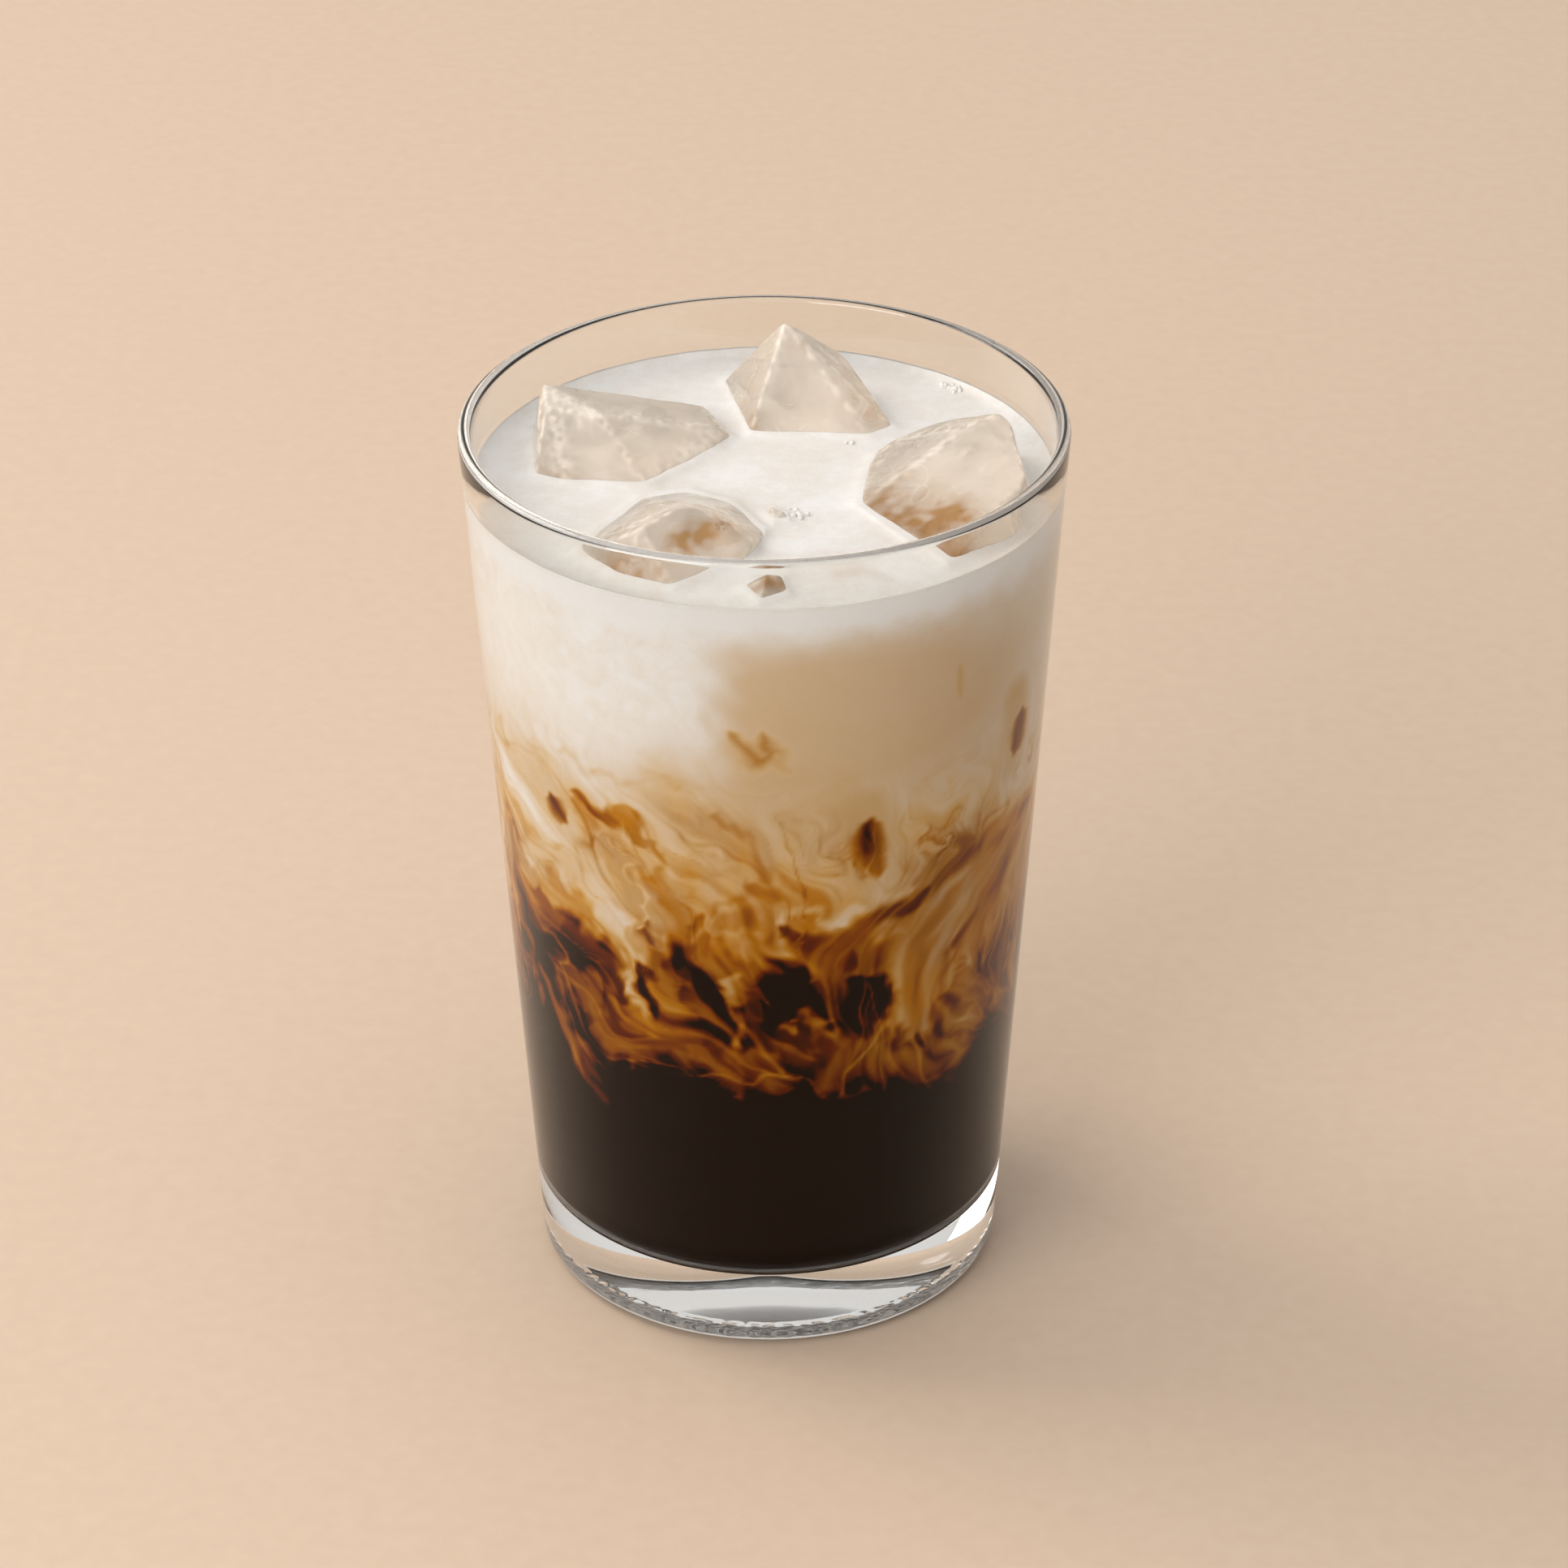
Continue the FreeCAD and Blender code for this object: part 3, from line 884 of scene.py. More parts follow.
@dataclass(frozen=True)
class MilkedCoffee:
    """Coffee and whole milk, from black through amber to white.

    Milk scatters all light and coffee takes up blue, so thin mixtures glow amber, thick ones
    turn fawn, and a fine cloud of fat breaks up every tone.
    """

    name: str
    behind_glass: bool = True
    ior: float = 0.88
    roughness: float = 0.04
    # Painted shade: a factor below 1 darkens a copy of the milk whose open top faces the light.
    shade: float = 1.0
    cloud_mm: float = 2.2
    grain_mm: float = 0.5

    def build(self) -> bpy.types.Material:
        """Makes the material."""
        material, tree = new_material(self.name)
        place = coordinates(tree)
        cloud = add(tree, "ShaderNodeTexNoise", {"Scale": per_metre(self.cloud_mm), "Detail": 3.0},
                    {"Vector": place})
        grain = add(tree, "ShaderNodeTexNoise", {"Scale": per_metre(self.grain_mm), "Detail": 2.0},
                    {"Vector": place})
        tone, haze, amber = (add(tree, "ShaderNodeAttribute", {"attribute_name": n}).outputs["Fac"]
                             for n in ("tone", "haze", "amber"))
        shift = add(tree, "ShaderNodeMapRange", {"To Min": -0.030, "To Max": 0.030},
                    {"Value": cloud.outputs["Fac"]})
        speck = add(tree, "ShaderNodeMapRange", {"To Min": -0.020, "To Max": 0.020},
                    {"Value": grain.outputs["Fac"]})
        jitter = add(tree, "ShaderNodeMath", {"operation": "ADD"},
                     {0: shift.outputs["Result"], 1: speck.outputs["Result"]})
        mixed = add(tree, "ShaderNodeMath", {"operation": "MULTIPLY_ADD"},
                    {0: tone, 1: jitter.outputs["Value"], 2: tone})
        plain = add(tree, "ShaderNodeValToRGB", {"stops": self.stops(PLAIN_TONES)},
                    {"Fac": mixed.outputs["Value"]})
        warm = add(tree, "ShaderNodeValToRGB", {"stops": self.stops(AMBER_TONES)},
                   {"Fac": mixed.outputs["Value"]})
        glow = add(tree, "ShaderNodeMix", {"data_type": "RGBA"},
                   {0: amber, 6: plain.outputs["Color"], 7: warm.outputs["Color"]})
        # This tan veil is partly painted shade.
        veil = add(tree, "ShaderNodeMix", {"data_type": "RGBA", 7: self.paint("B88F60")},
                   {0: haze, 6: glow.outputs[2]})
        shader = add(tree, "ShaderNodeBsdfPrincipled",
                     {"Roughness": self.roughness, "IOR": self.ior},
                     {"Base Color": veil.outputs[2]})
        finish_surface(tree, shader)
        return material

    def stops(self, tones: Sequence[tuple[float, str]]) -> list[tuple[float, Any]]:
        """Turns a list of tones and hex colours into ramp stops."""
        return [(place, self.paint(colour)) for place, colour in tones]

    def paint(self, colour: str) -> tuple[float, ...]:
        """Gives the colour that looks like this one from where it is seen, scaled by the painted
        shade factor in the open.
        """
        if self.behind_glass:
            return behind_glass(colour)
        # In the open the colour is scaled by the painted shade factor.
        return tuple(self.shade * c for c in linear(colour)[:3]) + (1.0,)


PLAIN_TONES = (
    (0.00, "0C0604"), (0.09, "120906"), (0.17, "3A1E0A"), (0.26, "5E3213"), (0.36, "7C4B1C"),
    (0.45, "935F2E"), (0.54, "A77A50"), (0.62, "B88E62"), (0.70, "C6A177"), (0.77, "CFB08F"),
    (0.83, "D7BFA6"), (0.89, "DECCBB"), (0.95, "E8DFD6"), (1.00, "F4F2EF"))
AMBER_TONES = (
    (0.00, "0C0604"), (0.09, "140906"), (0.15, "341807"), (0.22, "5C2F07"), (0.32, "82470B"),
    (0.42, "A05E18"),
    (0.54, "B4783A"), (0.64, "C69358"), (0.74, "D2AC80"), (0.84, "DABFA0"), (0.92, "E4D4C2"),
    (1.00, "F4F2EF"))


@dataclass(frozen=True)
class ClearIce:
    """Freezer ice, frozen in a tray and partly melted.

    Its skin is wet and smooth with shallow scallops, and it is a little cloudy inside, so it
    bends what is behind it and stays paler than the milk's shadow.
    """

    ior: float = 1.31
    scallop_mm: float = 7.0
    frost_mm: float = 2.0

    def build(self) -> bpy.types.Material:
        """Makes the material."""
        material, tree = new_material("clear_ice_melting")
        place = coordinates(tree)
        scallop = add(tree, "ShaderNodeTexNoise",
                      {"Scale": per_metre(self.scallop_mm), "Detail": 3.0}, {"Vector": place})
        bump = add(tree, "ShaderNodeBump", {"Strength": 0.35, "Distance": 0.8 * MM},
                   {"Height": scallop.outputs["Fac"]})
        frost = add(tree, "ShaderNodeTexNoise",
                    {"Scale": per_metre(self.frost_mm), "Detail": 3.0, "Roughness": 0.6},
                    {"Vector": place})
        held, coffee = (add(tree, "ShaderNodeAttribute", {"attribute_name": n}).outputs["Fac"]
                        for n in ("frost", "stain"))
        broken = add(tree, "ShaderNodeMapRange",
                     {"From Min": 0.35, "From Max": 0.65, "To Min": 0.6, "To Max": 1.1},
                     {"Value": frost.outputs["Fac"]})
        white = add(tree, "ShaderNodeMath", {"operation": "MULTIPLY", "use_clamp": True},
                    {0: held, 1: broken.outputs["Result"]})
        rough = add(tree, "ShaderNodeMapRange", {"To Min": 0.04, "To Max": 0.30},
                    {"Value": white.outputs["Value"]})
        clear = add(tree, "ShaderNodeMapRange", {"To Min": 0.72, "To Max": 0.28},
                    {"Value": white.outputs["Value"]})
        colour = add(tree, "ShaderNodeMix", {"data_type": "RGBA", 6: linear("FFF4E6"),
                                             7: linear("C08B4E")}, {0: coffee})
        shader = add(tree, "ShaderNodeBsdfPrincipled", {"IOR": self.ior},
                     {"Base Color": colour.outputs[2], "Roughness": rough.outputs["Result"],
                      "Transmission Weight": clear.outputs["Result"],
                      "Normal": bump.outputs["Normal"]})
        finish_surface(tree, shader)
        return material


@dataclass(frozen=True)
class MilkFilm:
    """The thin skin of a bubble of milk, which shows a bright rim and a clear middle."""

    ior: float = 1.15
    patch_mm: float = 0.4

    def build(self) -> bpy.types.Material:
        """Makes the material."""
        material, tree = new_material("milk_bubble_film")
        patch = add(tree, "ShaderNodeTexNoise", {"Scale": per_metre(self.patch_mm), "Detail": 1.0},
                    {"Vector": coordinates(tree)})
        clear = add(tree, "ShaderNodeMapRange", {"To Min": 0.05, "To Max": 0.40},
                    {"Value": patch.outputs["Fac"]})
        shader = add(tree, "ShaderNodeBsdfPrincipled",
                     {"Base Color": linear("F6F3EE"), "Roughness": 0.05, "IOR": self.ior},
                     {"Transmission Weight": clear.outputs["Result"]})
        finish_surface(tree, shader)
        return material


@dataclass(frozen=True)
class PaintedFloor:
    """Matt painted board, sprayed, in a warm off-white with a barely visible tooth."""

    colour: str = "D2BAA3"
    tooth_mm: float = 3.0

    def build(self) -> bpy.types.Material:
        """Makes the material."""
        material, tree = new_material("matt_painted_board")
        tooth = add(tree, "ShaderNodeTexNoise", {"Scale": per_metre(self.tooth_mm)},
                    {"Vector": coordinates(tree)})
        shade = add(tree, "ShaderNodeValToRGB",
                    {"stops": [(0.3, linear("CFB69F")), (0.7, linear(self.colour))]},
                    {"Fac": tooth.outputs["Fac"]})
        shader = add(tree, "ShaderNodeBsdfPrincipled", {"Roughness": 0.6},
                     {"Base Color": shade.outputs["Color"]})
        finish_surface(tree, shader)
        return material


# ---------------------------------------------------------------- the pieces


@dataclass
class Tumbler:
    """The clear glass, with its heavy base and rounded lip.

    It is polished above the drink and round the base, stippled on the foot, and its sheen is
    weaker where the wall is wet inside.
    """

    turns: int = 440
    stipple: float = 0.12
    wet_from: float = 8.0
    foot_height: float = 0.9
    foot_inside: float = 2.2
    foot_outside: float = 4.6

    def profile(self) -> Array:
        """Closed profile, from under the base, up outside, over the lip and down inside."""
        shape = SHAPE
        lip = shape.wall / 2.0
        lip_z = shape.height - lip
        ring_out = shape.outer(0.0) - shape.heel
        ring_in = ring_out - shape.bearing
        under = span((0.0, shape.punt), (ring_in - shape.punt_blend, shape.punt), 1.5)
        slope = span(under[-1], (ring_in, 0.0), 0.8)
        ring = span((ring_in, 0.0), (ring_out, 0.0), 0.4)
        heel = arc((ring_out, shape.heel), shape.heel, -90.0, 0.0, 14)
        heel = [(r + shape.slope * z, z) for r, z in heel]
        side = span(heel[-1], (float(shape.outer(lip_z)), lip_z), 3.5)
        middle = (float(shape.outer(lip_z)) - lip, lip_z)
        rim = arc(middle, lip, 0.0, 180.0, 18)
        inside = shape.inside(lip_z, 1.2, 3.5)[::-1]
        return joined(under, slope, ring, heel, side, rim, inside)

    def build(self) -> bpy.types.Object:
        """Makes the glass."""
        points, faces = lathe(self.profile(), even_turns(self.turns))
        points = fitted(points)
        points[:, 2] += self._stippling(points)
        made = mesh_object("tumbler", points, faces)
        for finish in (PolishedGlass(), StippledGlass(),
                       PolishedGlass("soda_lime_glass_wet_inside", "585858")):
            made.data.materials.append(finish.build())
        middles = face_middles(made)
        radius = np.hypot(middles[:, 0], middles[:, 1])
        inner = (SHAPE.outer(0.0) - SHAPE.heel - SHAPE.bearing) * FIT
        foot = ((middles[:, 2] < self.foot_height) & (radius > inner - self.foot_inside)
                & (radius < inner + self.foot_outside))
        wet = (middles[:, 2] > self.wet_from) & (middles[:, 2] < SHAPE.fill + 1.0)
        made.data.polygons.foreach_set("material_index", (foot + 2 * wet).astype(np.int32))
        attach(made, "root")
        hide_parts("glass")
        return made

    def _stippling(self, points: Array) -> Array:
        """Lifts dots on the bearing ring, which keep a pressed base from sliding."""
        radius = np.hypot(points[:, 0], points[:, 1])
        inner = SHAPE.outer(0.0) - SHAPE.heel - SHAPE.bearing
        ring = (smooth(inner - 3.4, inner - 2.8, radius)
                * (1.0 - smooth(inner + 3.4, inner + 4.0, radius)) * (points[:, 2] < 2.0))
        bumps = Waves(31, 1.1, 2.2, 48).at(points * np.array([1.0, 1.0, 0.0]))
        return ring * self.stipple * (1.0 + bumps).clip(0.0, 2.0)


@dataclass(frozen=True)
class Mark:
    """A stain or a frosted crack in the ice, or a tan mark on the milk that is partly painted
    shadow, along a path of points in millimetres.
    """

    path: tuple[tuple[float, float, float], ...]
    width: float
    strength: float = 1.0

    def at(self, points: Array) -> Array:
        """Strength of the mark at each point, falling off over its width."""
        best = np.full(len(points), 1e9)
        ends = [np.array(p) for p in self.path]
        for a, b in zip(ends[:-1], ends[1:]):
            d = b - a
            t = np.clip((points - a) @ d / (d @ d + 1e-9), 0.0, 1.0)
            best = np.minimum(best, np.linalg.norm(points - a - t[:, None] * d, axis=1))
        return self.strength * np.exp(-(best / self.width) ** 2)


@dataclass
class IceBlock:
    """One block of ice, rounded and dented by melting."""

    node: str
    seed: int
    stains: tuple[Mark, ...] = ()
    frosting: tuple[Mark, ...] = ()
    edge: float = 0.17
    dent: float = 0.16
    cloud: float = 0.0
    cells: int = 80
    hollow: float = 3.8

    def __post_init__(self) -> None:
        """Reads the flat sides of the block's CAD solid."""
        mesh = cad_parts[self.node].data
        normals: list[Array] = []
        offsets = []
        for side in mesh.polygons:
            normal = np.array(side.normal)
            if all(normal @ other < 0.995 for other in normals):
                normals.append(normal)
                offsets.append(float(normal @ np.array(side.center)) / MM)
        self.normals = np.array(normals)
        self.offsets = np.array(offsets)
        corners = np.array([v.co for v in mesh.vertices]) / MM
        self.centre = corners.mean(axis=0)
        self.centre[2] = SHAPE.fill - 0.4
        self.reach = float(np.linalg.norm(corners - self.centre, axis=1).max())
        size = self.reach / 18.0
        self.edge *= min(1.0, size * 1.2)
        self.dent *= min(1.0, size)
        self.scallops = Waves(self.seed, 5.0, 12.0)
        self.ripples = Waves(self.seed + 1, 1.6, 4.0)

    def depth(self, points: Array) -> Array:
        """Signed distance to the melted surface, about right near it, negative inside."""
        away = (points @ self.normals.T - self.offsets) / self.edge
        most = away.max(axis=1)
        rounded = self.edge * (most + np.log(np.exp(away - most[:, None]).sum(axis=1)))
        dents = self.dent * (0.5 + 0.5 * self.scallops.at(points)).clip(0.0, 1.5)
        return rounded + dents + 0.12 * self.dent * (1.0 + self.ripples.at(points)).clip(0.0, 2.0)

    def skin(self, cells: int, inside: Callable[[Array], Array]) -> tuple[Array, list[list[int]]]:
        """Finds the surface round the block's middle where a depth turns from inside to out.

        Args:
            cells: Cells along each panel of the ball it starts from.
            inside: Gives each point's depth, negative inside.

        Returns:
            The vertices and the faces.
        """
        ways, faces = cube_ball(cells)
        low = np.zeros(len(ways))
        high = np.full(len(ways), 1.2 * self.reach)
        for _ in range(20):
            middle = (low + high) / 2.0
            out = inside(self.centre + ways * middle[:, None]) > 0.0
            high = np.where(out, middle, high)
            low = np.where(out, low, middle)
        return self.centre + ways * ((low + high) / 2.0)[:, None], faces

    def hollow_skin(self, clasp: float) -> tuple[Array, list[list[int]]]:
        """Skin of the hollow the block shows in the milk, which closes in below the surface.

        Args:
            clasp: How far the milk reaches into the block.

        Returns:
            The vertices and the faces.
        """
        def inside(points: Array) -> Array:
            """Depth in the hollow: inside the block and above the hollow's bowl."""
            bowl = SHAPE.fill - self.hollow + 1.2 * self.scallops.at(points) - points[:, 2]
            return np.maximum(self.depth(points) + clasp, bowl)
        return self.skin(max(16, self.cells // 2), inside)

    def frost(self, points: Array) -> Array:
        """How white each point is: along the edges, in the marks, and in feathery cracks."""
        away = np.sort(points @ self.normals.T - self.offsets, axis=1)
        broken = 0.5 + 0.5 * self.ripples.at(points * 1.3)
        edge = np.exp(-((away[:, -1] - away[:, -2]) / 0.30) ** 2) * smooth(0.1, 0.9, broken)
        feather = np.exp(-(Waves(self.seed + 2, 3.0, 14.0).at(points) / 0.035) ** 2)
        feather *= smooth(0.1, 0.7, Waves(self.seed + 3, 8.0, 20.0).at(points))
        marks = sum((mark.at(points) for mark in self.frosting), np.zeros(len(points)))
        grain = points * np.array([1.0, 0.35, 0.6])
        streaks = 0.5 + 0.5 * Waves(self.seed + 4, 0.8, 2.4).at(grain)
        return np.clip(self.cloud + 0.65 * edge + 0.30 * feather + marks * (0.25 + 0.6 * streaks),
                       0.0, 1.0)

    def stain(self, points: Array) -> Array:
        """How much coffee clings to each point, in specks and runs."""
        marks = sum((mark.at(points) for mark in self.stains), np.zeros(len(points)))
        specks = 0.5 + 0.5 * self.ripples.at(points) + 0.5 * self.scallops.at(points)
        return np.clip(marks * (0.45 + specks.clip(0.0, 1.4)), 0.0, 1.0)

    def build(self, material: bpy.types.Material) -> bpy.types.Object:
        """Makes the block.

        Args:
            material: The ice.

        Returns:
            The piece.
        """
        made = mesh_object(self.node + "_melting", *self.skin(self.cells, self.depth))
        points = vertices(made)
        set_attribute(made, "frost", self.frost(points))
        set_attribute(made, "stain", self.stain(points))
        made.data.materials.append(material)
        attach(made, "root")
        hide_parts(self.node)
        return made


ICE = (
    IceBlock("ice_left", 11,
             stains=(Mark(((-16.0, -2.0, 128.0), (-10.5, -0.5, 125.5)), 2.6, 0.55),
                    Mark(((-30.0, -1.0, 125.0), (-27.0, -2.0, 124.0)), 1.8, 0.5)),
             frosting=(Mark(((-30.0, 11.0, 131.0), (-25.0, 6.5, 130.5)), 2.6, 0.9),
                    Mark(((-32.0, 3.0, 130.0), (-30.0, 0.0, 125.0)), 1.6, 0.6),
                    Mark(((-24.0, 6.0, 130.5), (-8.0, 10.0, 126.0)), 0.7, 0.6))),
    IceBlock("ice_back", 22,
             stains=(Mark(((-4.8, 20.0, 126.0), (-2.0, 15.0, 124.5)), 2.0, 0.5),
                    Mark(((12.0, 20.0, 128.0), (15.0, 16.0, 125.0)), 2.2, 0.5)),
             frosting=(Mark(((2.9, 22.5, 136.5), (0.5, 16.0, 129.0)), 0.8, 0.7),
                    Mark(((2.9, 22.5, 136.5), (10.0, 22.0, 130.5)), 0.9, 0.7),
                    Mark(((2.5, 20.0, 134.0), (6.0, 14.0, 127.0)), 0.5, 0.5))),
    IceBlock("ice_right", 33,
             stains=(Mark(((15.5, -12.0, 125.5), (22.0, -18.5, 126.0), (24.0, -25.0, 125.0)),
                          3.6, 1.0),
                    Mark(((23.0, -12.0, 128.0), (27.0, -19.0, 127.5)), 2.6, 0.9),
                    Mark(((15.0, -8.0, 126.0), (19.0, -6.0, 128.0)), 1.8, 0.6)),
             frosting=(Mark(((14.0, -2.5, 126.0), (26.0, 0.5, 131.0)), 0.9, 0.8),
                    Mark(((13.5, -7.0, 126.0), (21.0, -6.0, 129.0)), 0.5, 0.7),
                    Mark(((29.0, -2.0, 131.0), (34.0, -14.0, 130.0)), 0.35, 0.9),
                    Mark(((18.0, -10.0, 127.5), (23.0, -20.0, 127.0)), 0.6, 0.7))),
    IceBlock("ice_front", 44,
             stains=(Mark(((-11.0, -26.5, 127.0), (-5.0, -22.0, 126.5)), 2.2, 1.0),
                    Mark(((-21.0, -28.0, 124.5), (-16.0, -31.0, 124.0)), 2.8, 0.7)),
             frosting=(Mark(((-16.0, -23.0, 128.5), (-14.5, -32.0, 124.5)), 0.8, 0.9),
                    Mark(((-18.0, -22.0, 127.5), (-10.0, -20.0, 130.0), (-3.0, -21.0, 127.0)),
                         0.9, 0.8))),
    IceBlock("ice_chip_front", 55, cells=24, hollow=2.0, cloud=0.35,
             stains=(Mark(((-1.0, -34.0, 125.0), (2.0, -34.0, 125.0)), 2.5, 0.8),)),
    IceBlock("ice_chip_middle", 66, cells=20, hollow=1.2, cloud=0.6),
)


# Tan marks on the milk beside the ice: partly coffee tint and partly painted shadow of the ice
# blocks.
SURFACE_STAINS_AND_SHADE = (
    Mark(((9.6, -29.5, 122.6), (13.0, -28.4, 122.6), (16.4, -30.0, 122.6)), 1.1, 0.75),
    Mark(((13.0, -11.0, 122.6), (15.0, -15.5, 122.6), (18.5, -21.0, 122.6)), 1.5, 0.45),
    Mark(((-4.0, -18.5, 122.6), (1.0, -24.0, 122.6)), 1.6, 0.30),
    Mark(((-22.0, -2.0, 122.6), (-9.0, -2.0, 122.6)), 1.2, 0.25))


@dataclass
class Foam:
    """Small bubbles left on the milk where it was poured and beside the ice."""

    spots: tuple[tuple[float, float, float, int], ...] = (
        (27.0, 28.6, 1.9, 22), (4.4, -11.2, 1.9, 14), (-6.0, -17.0, 1.2, 6), (12.0, 10.5, 1.0, 5))
    smallest: float = 0.14
    largest: float = 0.48
    seed: int = 5

    def build(self) -> bpy.types.Object:
        """Makes all the bubbles as one piece."""
        rng = np.random.default_rng(self.seed)
        ball, sides = cube_ball(6)
        points, faces = [], []
        for x, y, spread, count in self.spots:
            for _ in range(count):
                radius = rng.uniform(self.smallest, self.largest)
                middle = (x + spread * rng.normal() * 0.6, y + spread * rng.normal() * 0.6,
                          SHAPE.fill + 0.45 * radius)
                faces += [[i + len(points) * len(ball) for i in side] for side in sides]
                points.append(ball * radius + np.array(middle))
        made = mesh_object("milk_bubbles", np.concatenate(points), faces)
        made.data.materials.append(MilkFilm().build())
        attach(made, "root")
        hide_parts("milk")
        return made


@dataclass
class Drink:
    """The coffee, the marbled layer and the milk, each reaching just into the glass."""

    coffee_top: float = 46.0
    swirl_top: float = 98.0
    lap: float = 0.3
    meniscus: float = 0.9
    clasp: float = 0.15
    # Painted shade that darkens the open top of the milk.
    open_painted_shade: float = 0.87
    marbling: Marbling = field(default_factory=Marbling)

    def turns(self) -> Array:
        """Angles round the wall, closer together at the front."""
        front = np.radians(np.arange(-100.0, 100.0, 0.47))
        back = np.radians(np.arange(100.3, 259.6, 1.1))
        return np.concatenate([front, back])

    def wall(self, low: float, high: float, pitch: float) -> list[tuple[float, float]]:
        """Profile of the drink's side between two heights."""
        return span((float(SHAPE.inner(low)) + self.lap, low),
                    (float(SHAPE.inner(high)) + self.lap, high), pitch)

    def _dress(self, made: bpy.types.Object, node: str,
               material: bpy.types.Material) -> bpy.types.Object:
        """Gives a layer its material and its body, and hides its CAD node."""
        made.data.set_sharp_from_angle(angle=math.radians(35.0))
        made.data.materials.append(material)
        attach(made, "root")
        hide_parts(node)
        return made

    def _colour(self, made: bpy.types.Object) -> None:
        """Stores the marbling on a layer that is seen only through the wall."""
        points = vertices(made)
        turn = np.degrees(np.arctan2(points[:, 0], -points[:, 1]))
        for name in ("tone", "haze", "amber"):
            grid = getattr(self.marbling, name)
            set_attribute(made, name, self.marbling.read(grid, turn, points[:, 2]))

    def coffee(self) -> bpy.types.Object:
        """Makes the coffee at the bottom."""
        rise = SHAPE.inside(self.coffee_top, 0.9, 0.5, self.lap)
        profile = joined(rise, [(0.0, self.coffee_top)])
        points, faces = lathe(profile, self.turns())
        made = mesh_object("coffee_layer", fitted(points), faces)
        self._colour(made)
        return self._dress(made, "coffee", MilkedCoffee("black_coffee_cold").build())

    def swirl(self) -> bpy.types.Object:
        """Makes the marbled layer."""
        profile = joined([(0.0, self.coffee_top)],
                         self.wall(self.coffee_top, self.swirl_top, 0.33),
                         [(0.0, self.swirl_top)])
        points, faces = lathe(profile, self.turns())
        made = mesh_object("swirl_layer", fitted(points), faces)
        self._colour(made)
        return self._dress(made, "swirl",
                           MilkedCoffee("milk_sinking_in_coffee").build())

    def _surface_rise(self, points: Array) -> Array:
        """How far the milk's surface climbs at the glass and at the ice, with faint unevenness."""
        radius = np.hypot(points[:, 0], points[:, 1])
        wall_gap = (SHAPE.inner(SHAPE.fill) - radius).clip(0.0)
        rise = self.meniscus * np.exp(-wall_gap / 0.8)
        for block in ICE:
            gap = block.depth(points).clip(0.0)
            rise = np.maximum(rise, 0.6 * self.meniscus * np.exp(-gap / 0.7))
        return rise + 0.06 * Waves(91, 6.0, 20.0).at(points)

    def milk(self) -> bpy.types.Object:
        """Makes the milk, cut round the ice."""
        edge = float(SHAPE.inner(SHAPE.fill)) + self.lap
        profile = joined([(0.0, self.swirl_top)], self.wall(self.swirl_top, SHAPE.fill, 0.5),
                         span((edge, SHAPE.fill), (0.6, SHAPE.fill), 0.6), [(0.0, SHAPE.fill)])
        points, faces = lathe(profile, self.turns())
        points = fitted(points)
        top = points[:, 2] > SHAPE.fill - 1e-6
        points[top, 2] += self._surface_rise(points[top])
        made = mesh_object("milk_layer", points, faces)
        self._cut_round_ice(made)
        self._colour_milk(made)
        self._dress(made, "milk", MilkedCoffee("whole_milk_behind_glass").build())
        # Lit and shaded copies of the milk: the open top is darkened as painted shade, and the
        # hollows under the ice keep the full colour for the light they miss.
        for finish in (MilkedCoffee("whole_milk_open_painted_shade", False, 1.34, 0.25, self.open_painted_shade),
                       MilkedCoffee("whole_milk_round_ice", False, 1.34, 0.25)):
            made.data.materials.append(finish.build())
        middles = face_middles(made)
        gap = SHAPE.inner(middles[:, 2]) * FIT - np.hypot(middles[:, 0], middles[:, 1])
        open_air = (gap > -0.1) & (middles[:, 2] > self.swirl_top + 0.2)
        hollow = open_air & (middles[:, 2] < SHAPE.fill - 0.4)
        index = open_air.astype(np.int32) + hollow.astype(np.int32)
        made.data.polygons.foreach_set("material_index", index)
        return made

    def _cut_round_ice(self, made: bpy.types.Object) -> None:
        """Cuts the hollow of each block, a little smaller than the block itself."""
        cutters = []
        for block in ICE:
            cutter = mesh_object("cutter", *block.hollow_skin(self.clasp))
            cut = made.modifiers.new("cut", "BOOLEAN")
            cut.operation = "DIFFERENCE"
            cut.solver = "EXACT"
            cut.object = cutter
            cutters.append(cutter)
        bpy.context.view_layer.update()
        shown = made.evaluated_get(bpy.context.evaluated_depsgraph_get())
        whole = made.data
        made.data = bpy.data.meshes.new_from_object(shown)
        made.modifiers.clear()
        bpy.data.meshes.remove(whole)
        for cutter in cutters:
            bpy.data.meshes.remove(cutter.data)
        made.data.shade_smooth()

    def _colour_milk(self, made: bpy.types.Object) -> None:
        """Stores the marbling on the wall, near white on top with tan marks beside the ice that are
        partly painted shadow, and a little darker deeper in the hollows.
        """
        points = vertices(made)
        radius = np.hypot(points[:, 0], points[:, 1]) / FIT
        turn = np.degrees(np.arctan2(points[:, 0], -points[:, 1]))
        wall = smooth(-0.5, -0.1, radius - SHAPE.inner(points[:, 2]) - self.lap)
        wall *= 1.0 - smooth(-0.6, 0.3, points[:, 2] - SHAPE.fill)
        top = smooth(-0.3, 0.0, points[:, 2] - SHAPE.fill)
        cloud = Waves(17, 5.0, 25.0).at(points)
        fleck = Waves(18, 1.2, 4.0).at(points)
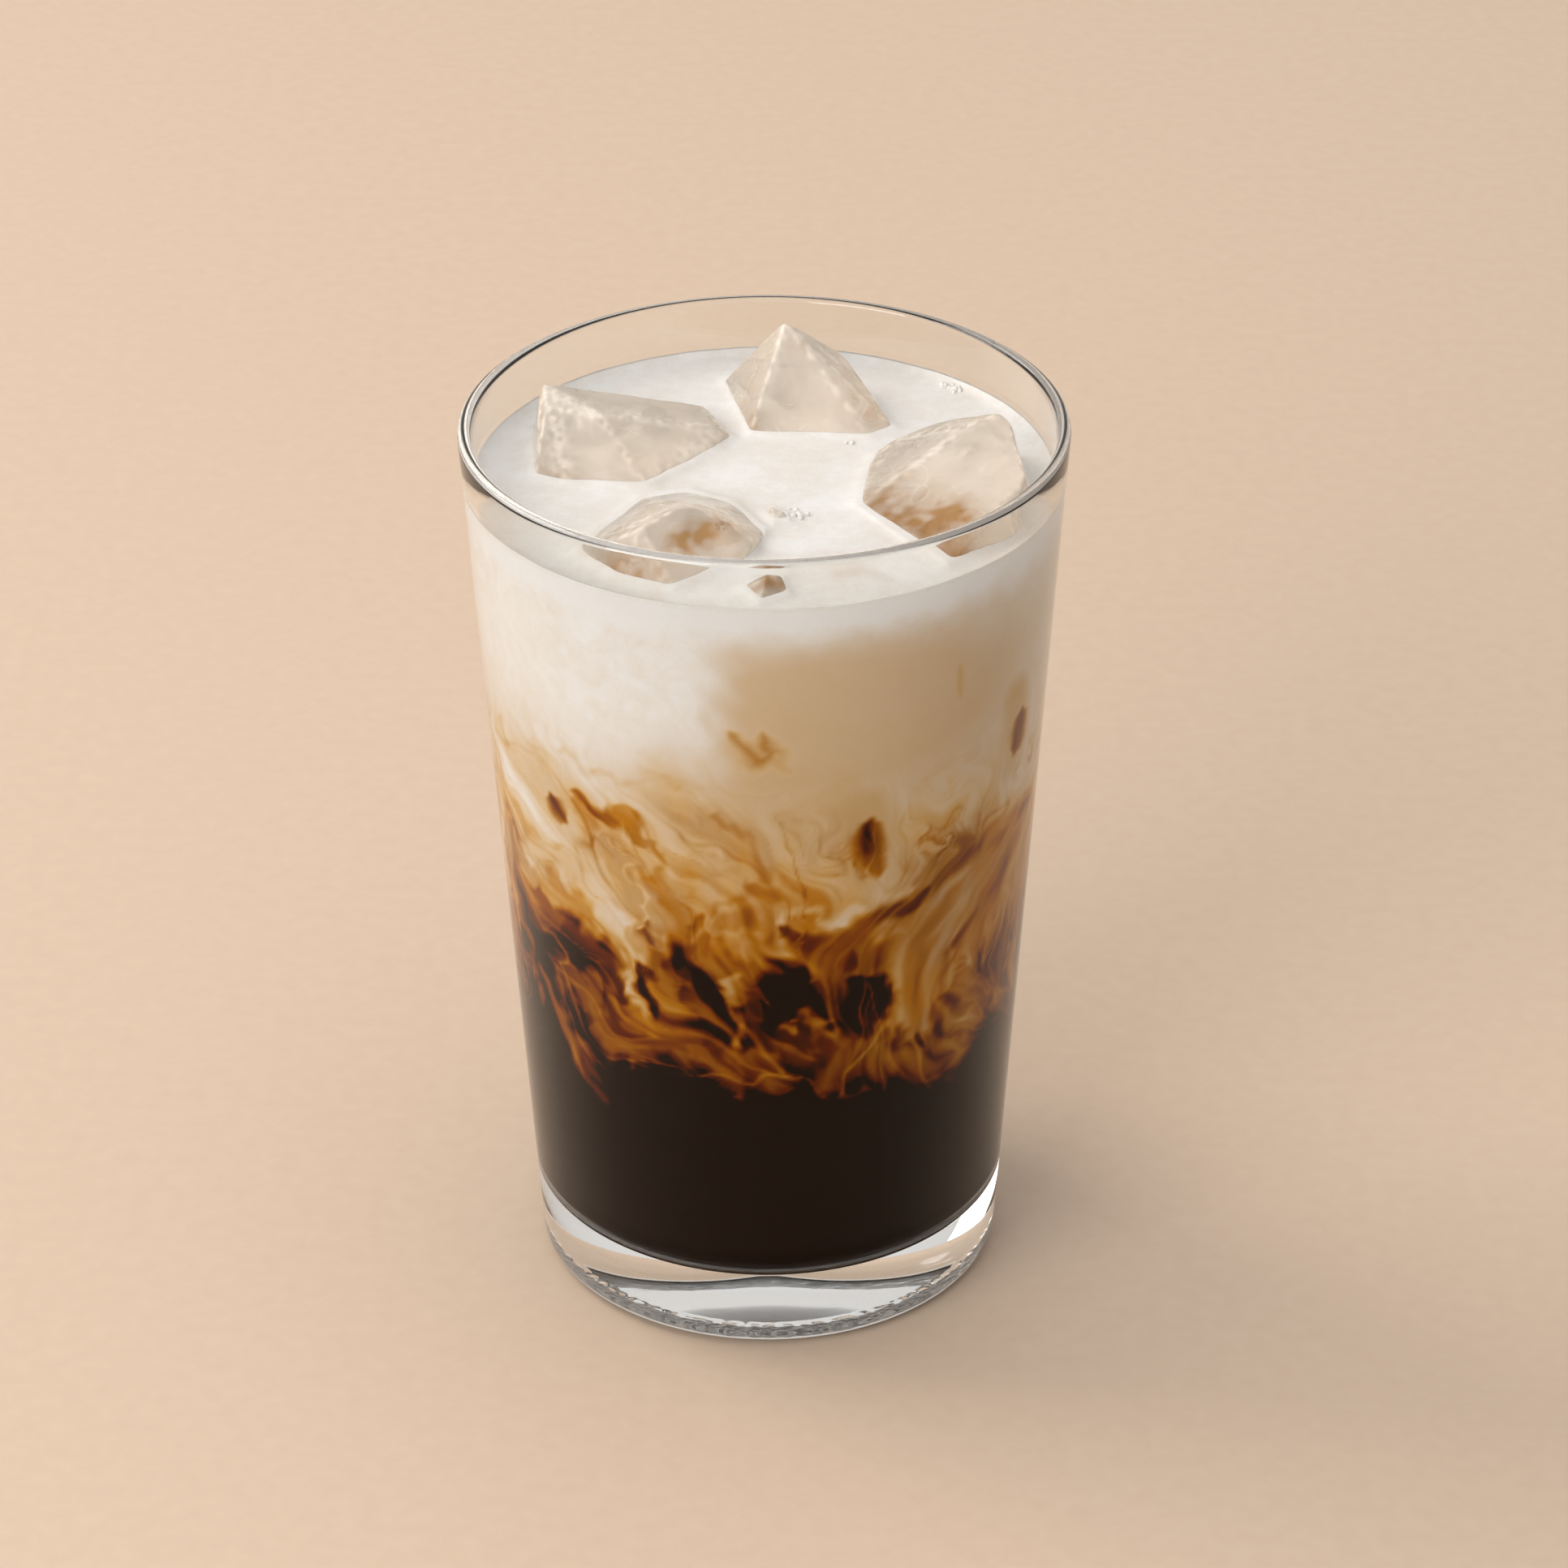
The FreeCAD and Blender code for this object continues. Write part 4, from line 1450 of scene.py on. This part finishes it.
        # Below the surface the milk is a little darker the deeper it lies.
        under = 0.985 - 0.04 * smooth(0.0, 8.0, SHAPE.fill - points[:, 2]) + 0.012 * fleck
        surface = 0.980 + 0.014 * cloud
        inner = under * (1.0 - top) + surface * top
        tone = self.marbling.read(self.marbling.tone, turn, points[:, 2])
        set_attribute(made, "tone", (tone * wall + inner * (1.0 - wall)).clip(0.0, 1.0))
        haze = self.marbling.read(self.marbling.haze, turn, points[:, 2])
        # The top takes the tan veil in these marks, partly coffee tint and partly painted shadow.
        stains = sum((mark.at(points) for mark in SURFACE_STAINS_AND_SHADE), np.zeros(len(points)))
        set_attribute(made, "haze", haze * wall + 0.5 * stains * top * (1.0 - wall))
        set_attribute(made, "amber", 0.3 * np.ones(len(points)))


# ---------------------------------------------------------------- the studio


@dataclass
class Studio:
    """Plain pale floor, soft light and the camera.

    The camera's sizes are in millimetres and degrees, and lamps are placed in metres.
    """

    sensor: float = 36.0
    focal: float = 130.43
    pitch: float = 29.66
    roll: float = -0.248
    distance: float = 813.3
    target: tuple[float, float, float] = (2.52, 0.0, 74.39)
    lit_height: float = 0.07
    floor_reach: float = 3000.0
    floor_drop: float = 0.02

    def floor(self) -> bpy.types.Object:
        """Makes the floor, a hair below the glass so that the two don't share a surface."""
        far, down = self.floor_reach, -self.floor_drop
        points = [[-far, -far, down], [far, -far, down], [far, far, down], [-far, far, down]]
        made = mesh_object("floor", np.array(points), [[0, 1, 2, 3]])
        made.data.materials.append(PaintedFloor().build())
        made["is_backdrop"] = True
        return made

    def world(self) -> None:
        """Makes the even light of a pale room, brighter overhead."""
        world = bpy.data.worlds.new("pale_room")
        world.use_nodes = True
        tree = world.node_tree
        tree.nodes.clear()
        up = add(tree, "ShaderNodeSeparateXYZ",
                 links={0: add(tree, "ShaderNodeTexCoord").outputs["Generated"]})
        shade = add(tree, "ShaderNodeValToRGB",
                    {"stops": [(0.0, linear("E8E2DA")), (0.35, linear("F0ECE8")),
                               (1.0, linear("FFFFFF"))]}, {"Fac": up.outputs["Z"]})
        light = add(tree, "ShaderNodeBackground", {"Strength": 0.80},
                    {"Color": shade.outputs["Color"]})
        add(tree, "ShaderNodeOutputWorld", links={"Surface": light.outputs[0]})
        bpy.context.scene.world = world

    def lamp(self, name: str, place: tuple[float, float, float], size: float, power: float,
             colour: str) -> None:
        """Hangs a soft square lamp that faces the glass.

        Args:
            name: Its name.
            place: Its position in metres.
            size: Length of its side in metres.
            power: Its power in watts.
            colour: Its colour.
        """
        data = bpy.data.lights.new(name, "AREA")
        data.size = size
        data.energy = power
        data.color = linear(colour)[:3]
        made = bpy.data.objects.new(name, data)
        made.location = place
        facing = Vector((0.0, 0.0, self.lit_height)) - Vector(place)
        made.rotation_euler = facing.to_track_quat("-Z", "Y").to_euler()
        bpy.context.scene.collection.objects.link(made)

    def camera(self) -> None:
        """Makes the camera."""
        tilt, roll = math.radians(self.pitch), math.radians(self.roll)
        ahead = Vector((0.0, math.cos(tilt), -math.sin(tilt)))
        right = Vector((1.0, 0.0, 0.0))
        up = right.cross(ahead)
        across = right * math.cos(roll) + up * math.sin(roll)
        rise = up * math.cos(roll) - right * math.sin(roll)
        data = bpy.data.cameras.new("camera")
        data.sensor_width = self.sensor
        data.lens = self.focal
        data.clip_start = 0.05
        made = bpy.data.objects.new("camera", data)
        turned = Matrix((across, rise, -ahead)).transposed().to_4x4()
        turned.translation = (Vector(self.target) - ahead * self.distance) * MM
        made.matrix_world = turned
        bpy.context.scene.collection.objects.link(made)
        bpy.context.scene.camera = made

    def build(self) -> None:
        """Makes the floor, the light and the camera."""
        self.floor()
        self.world()
        self.lamp("window", (-0.95, 0.45, 0.95), 0.8, 9.0, "FFFAF2")
        self.lamp("front_left", (-0.80, -1.00, 0.55), 0.9, 12.0, "FFFFFF")
        self.camera()
        bpy.context.scene.view_settings.view_transform = "Standard"


def corners() -> list[list[float]]:
    """Gives the shown object's bounds as plain lists."""
    return [[float(c) for c in corner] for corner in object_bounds()]


def report(piece: bpy.types.Object) -> None:
    """Logs a piece's name and its triangles."""
    count = sum(len(p.vertices) - 2 for p in piece.data.polygons)
    LOG.info("%s: %d triangles", piece.name, count)


def main(cad_size: list[list[float]]) -> None:
    """Builds everything in order.

    Args:
        cad_size: The bounds of the CAD model; not used.
    """
    Studio().build()
    report(Tumbler().build())
    ice = ClearIce().build()
    for block in ICE:
        report(block.build(ice))
    drink = Drink()
    for build in (drink.coffee, drink.swirl, drink.milk, Foam().build):
        report(build())


if __name__ == "__main__":
    logging.basicConfig(level=logging.INFO, format="%(message)s")
    main(corners())
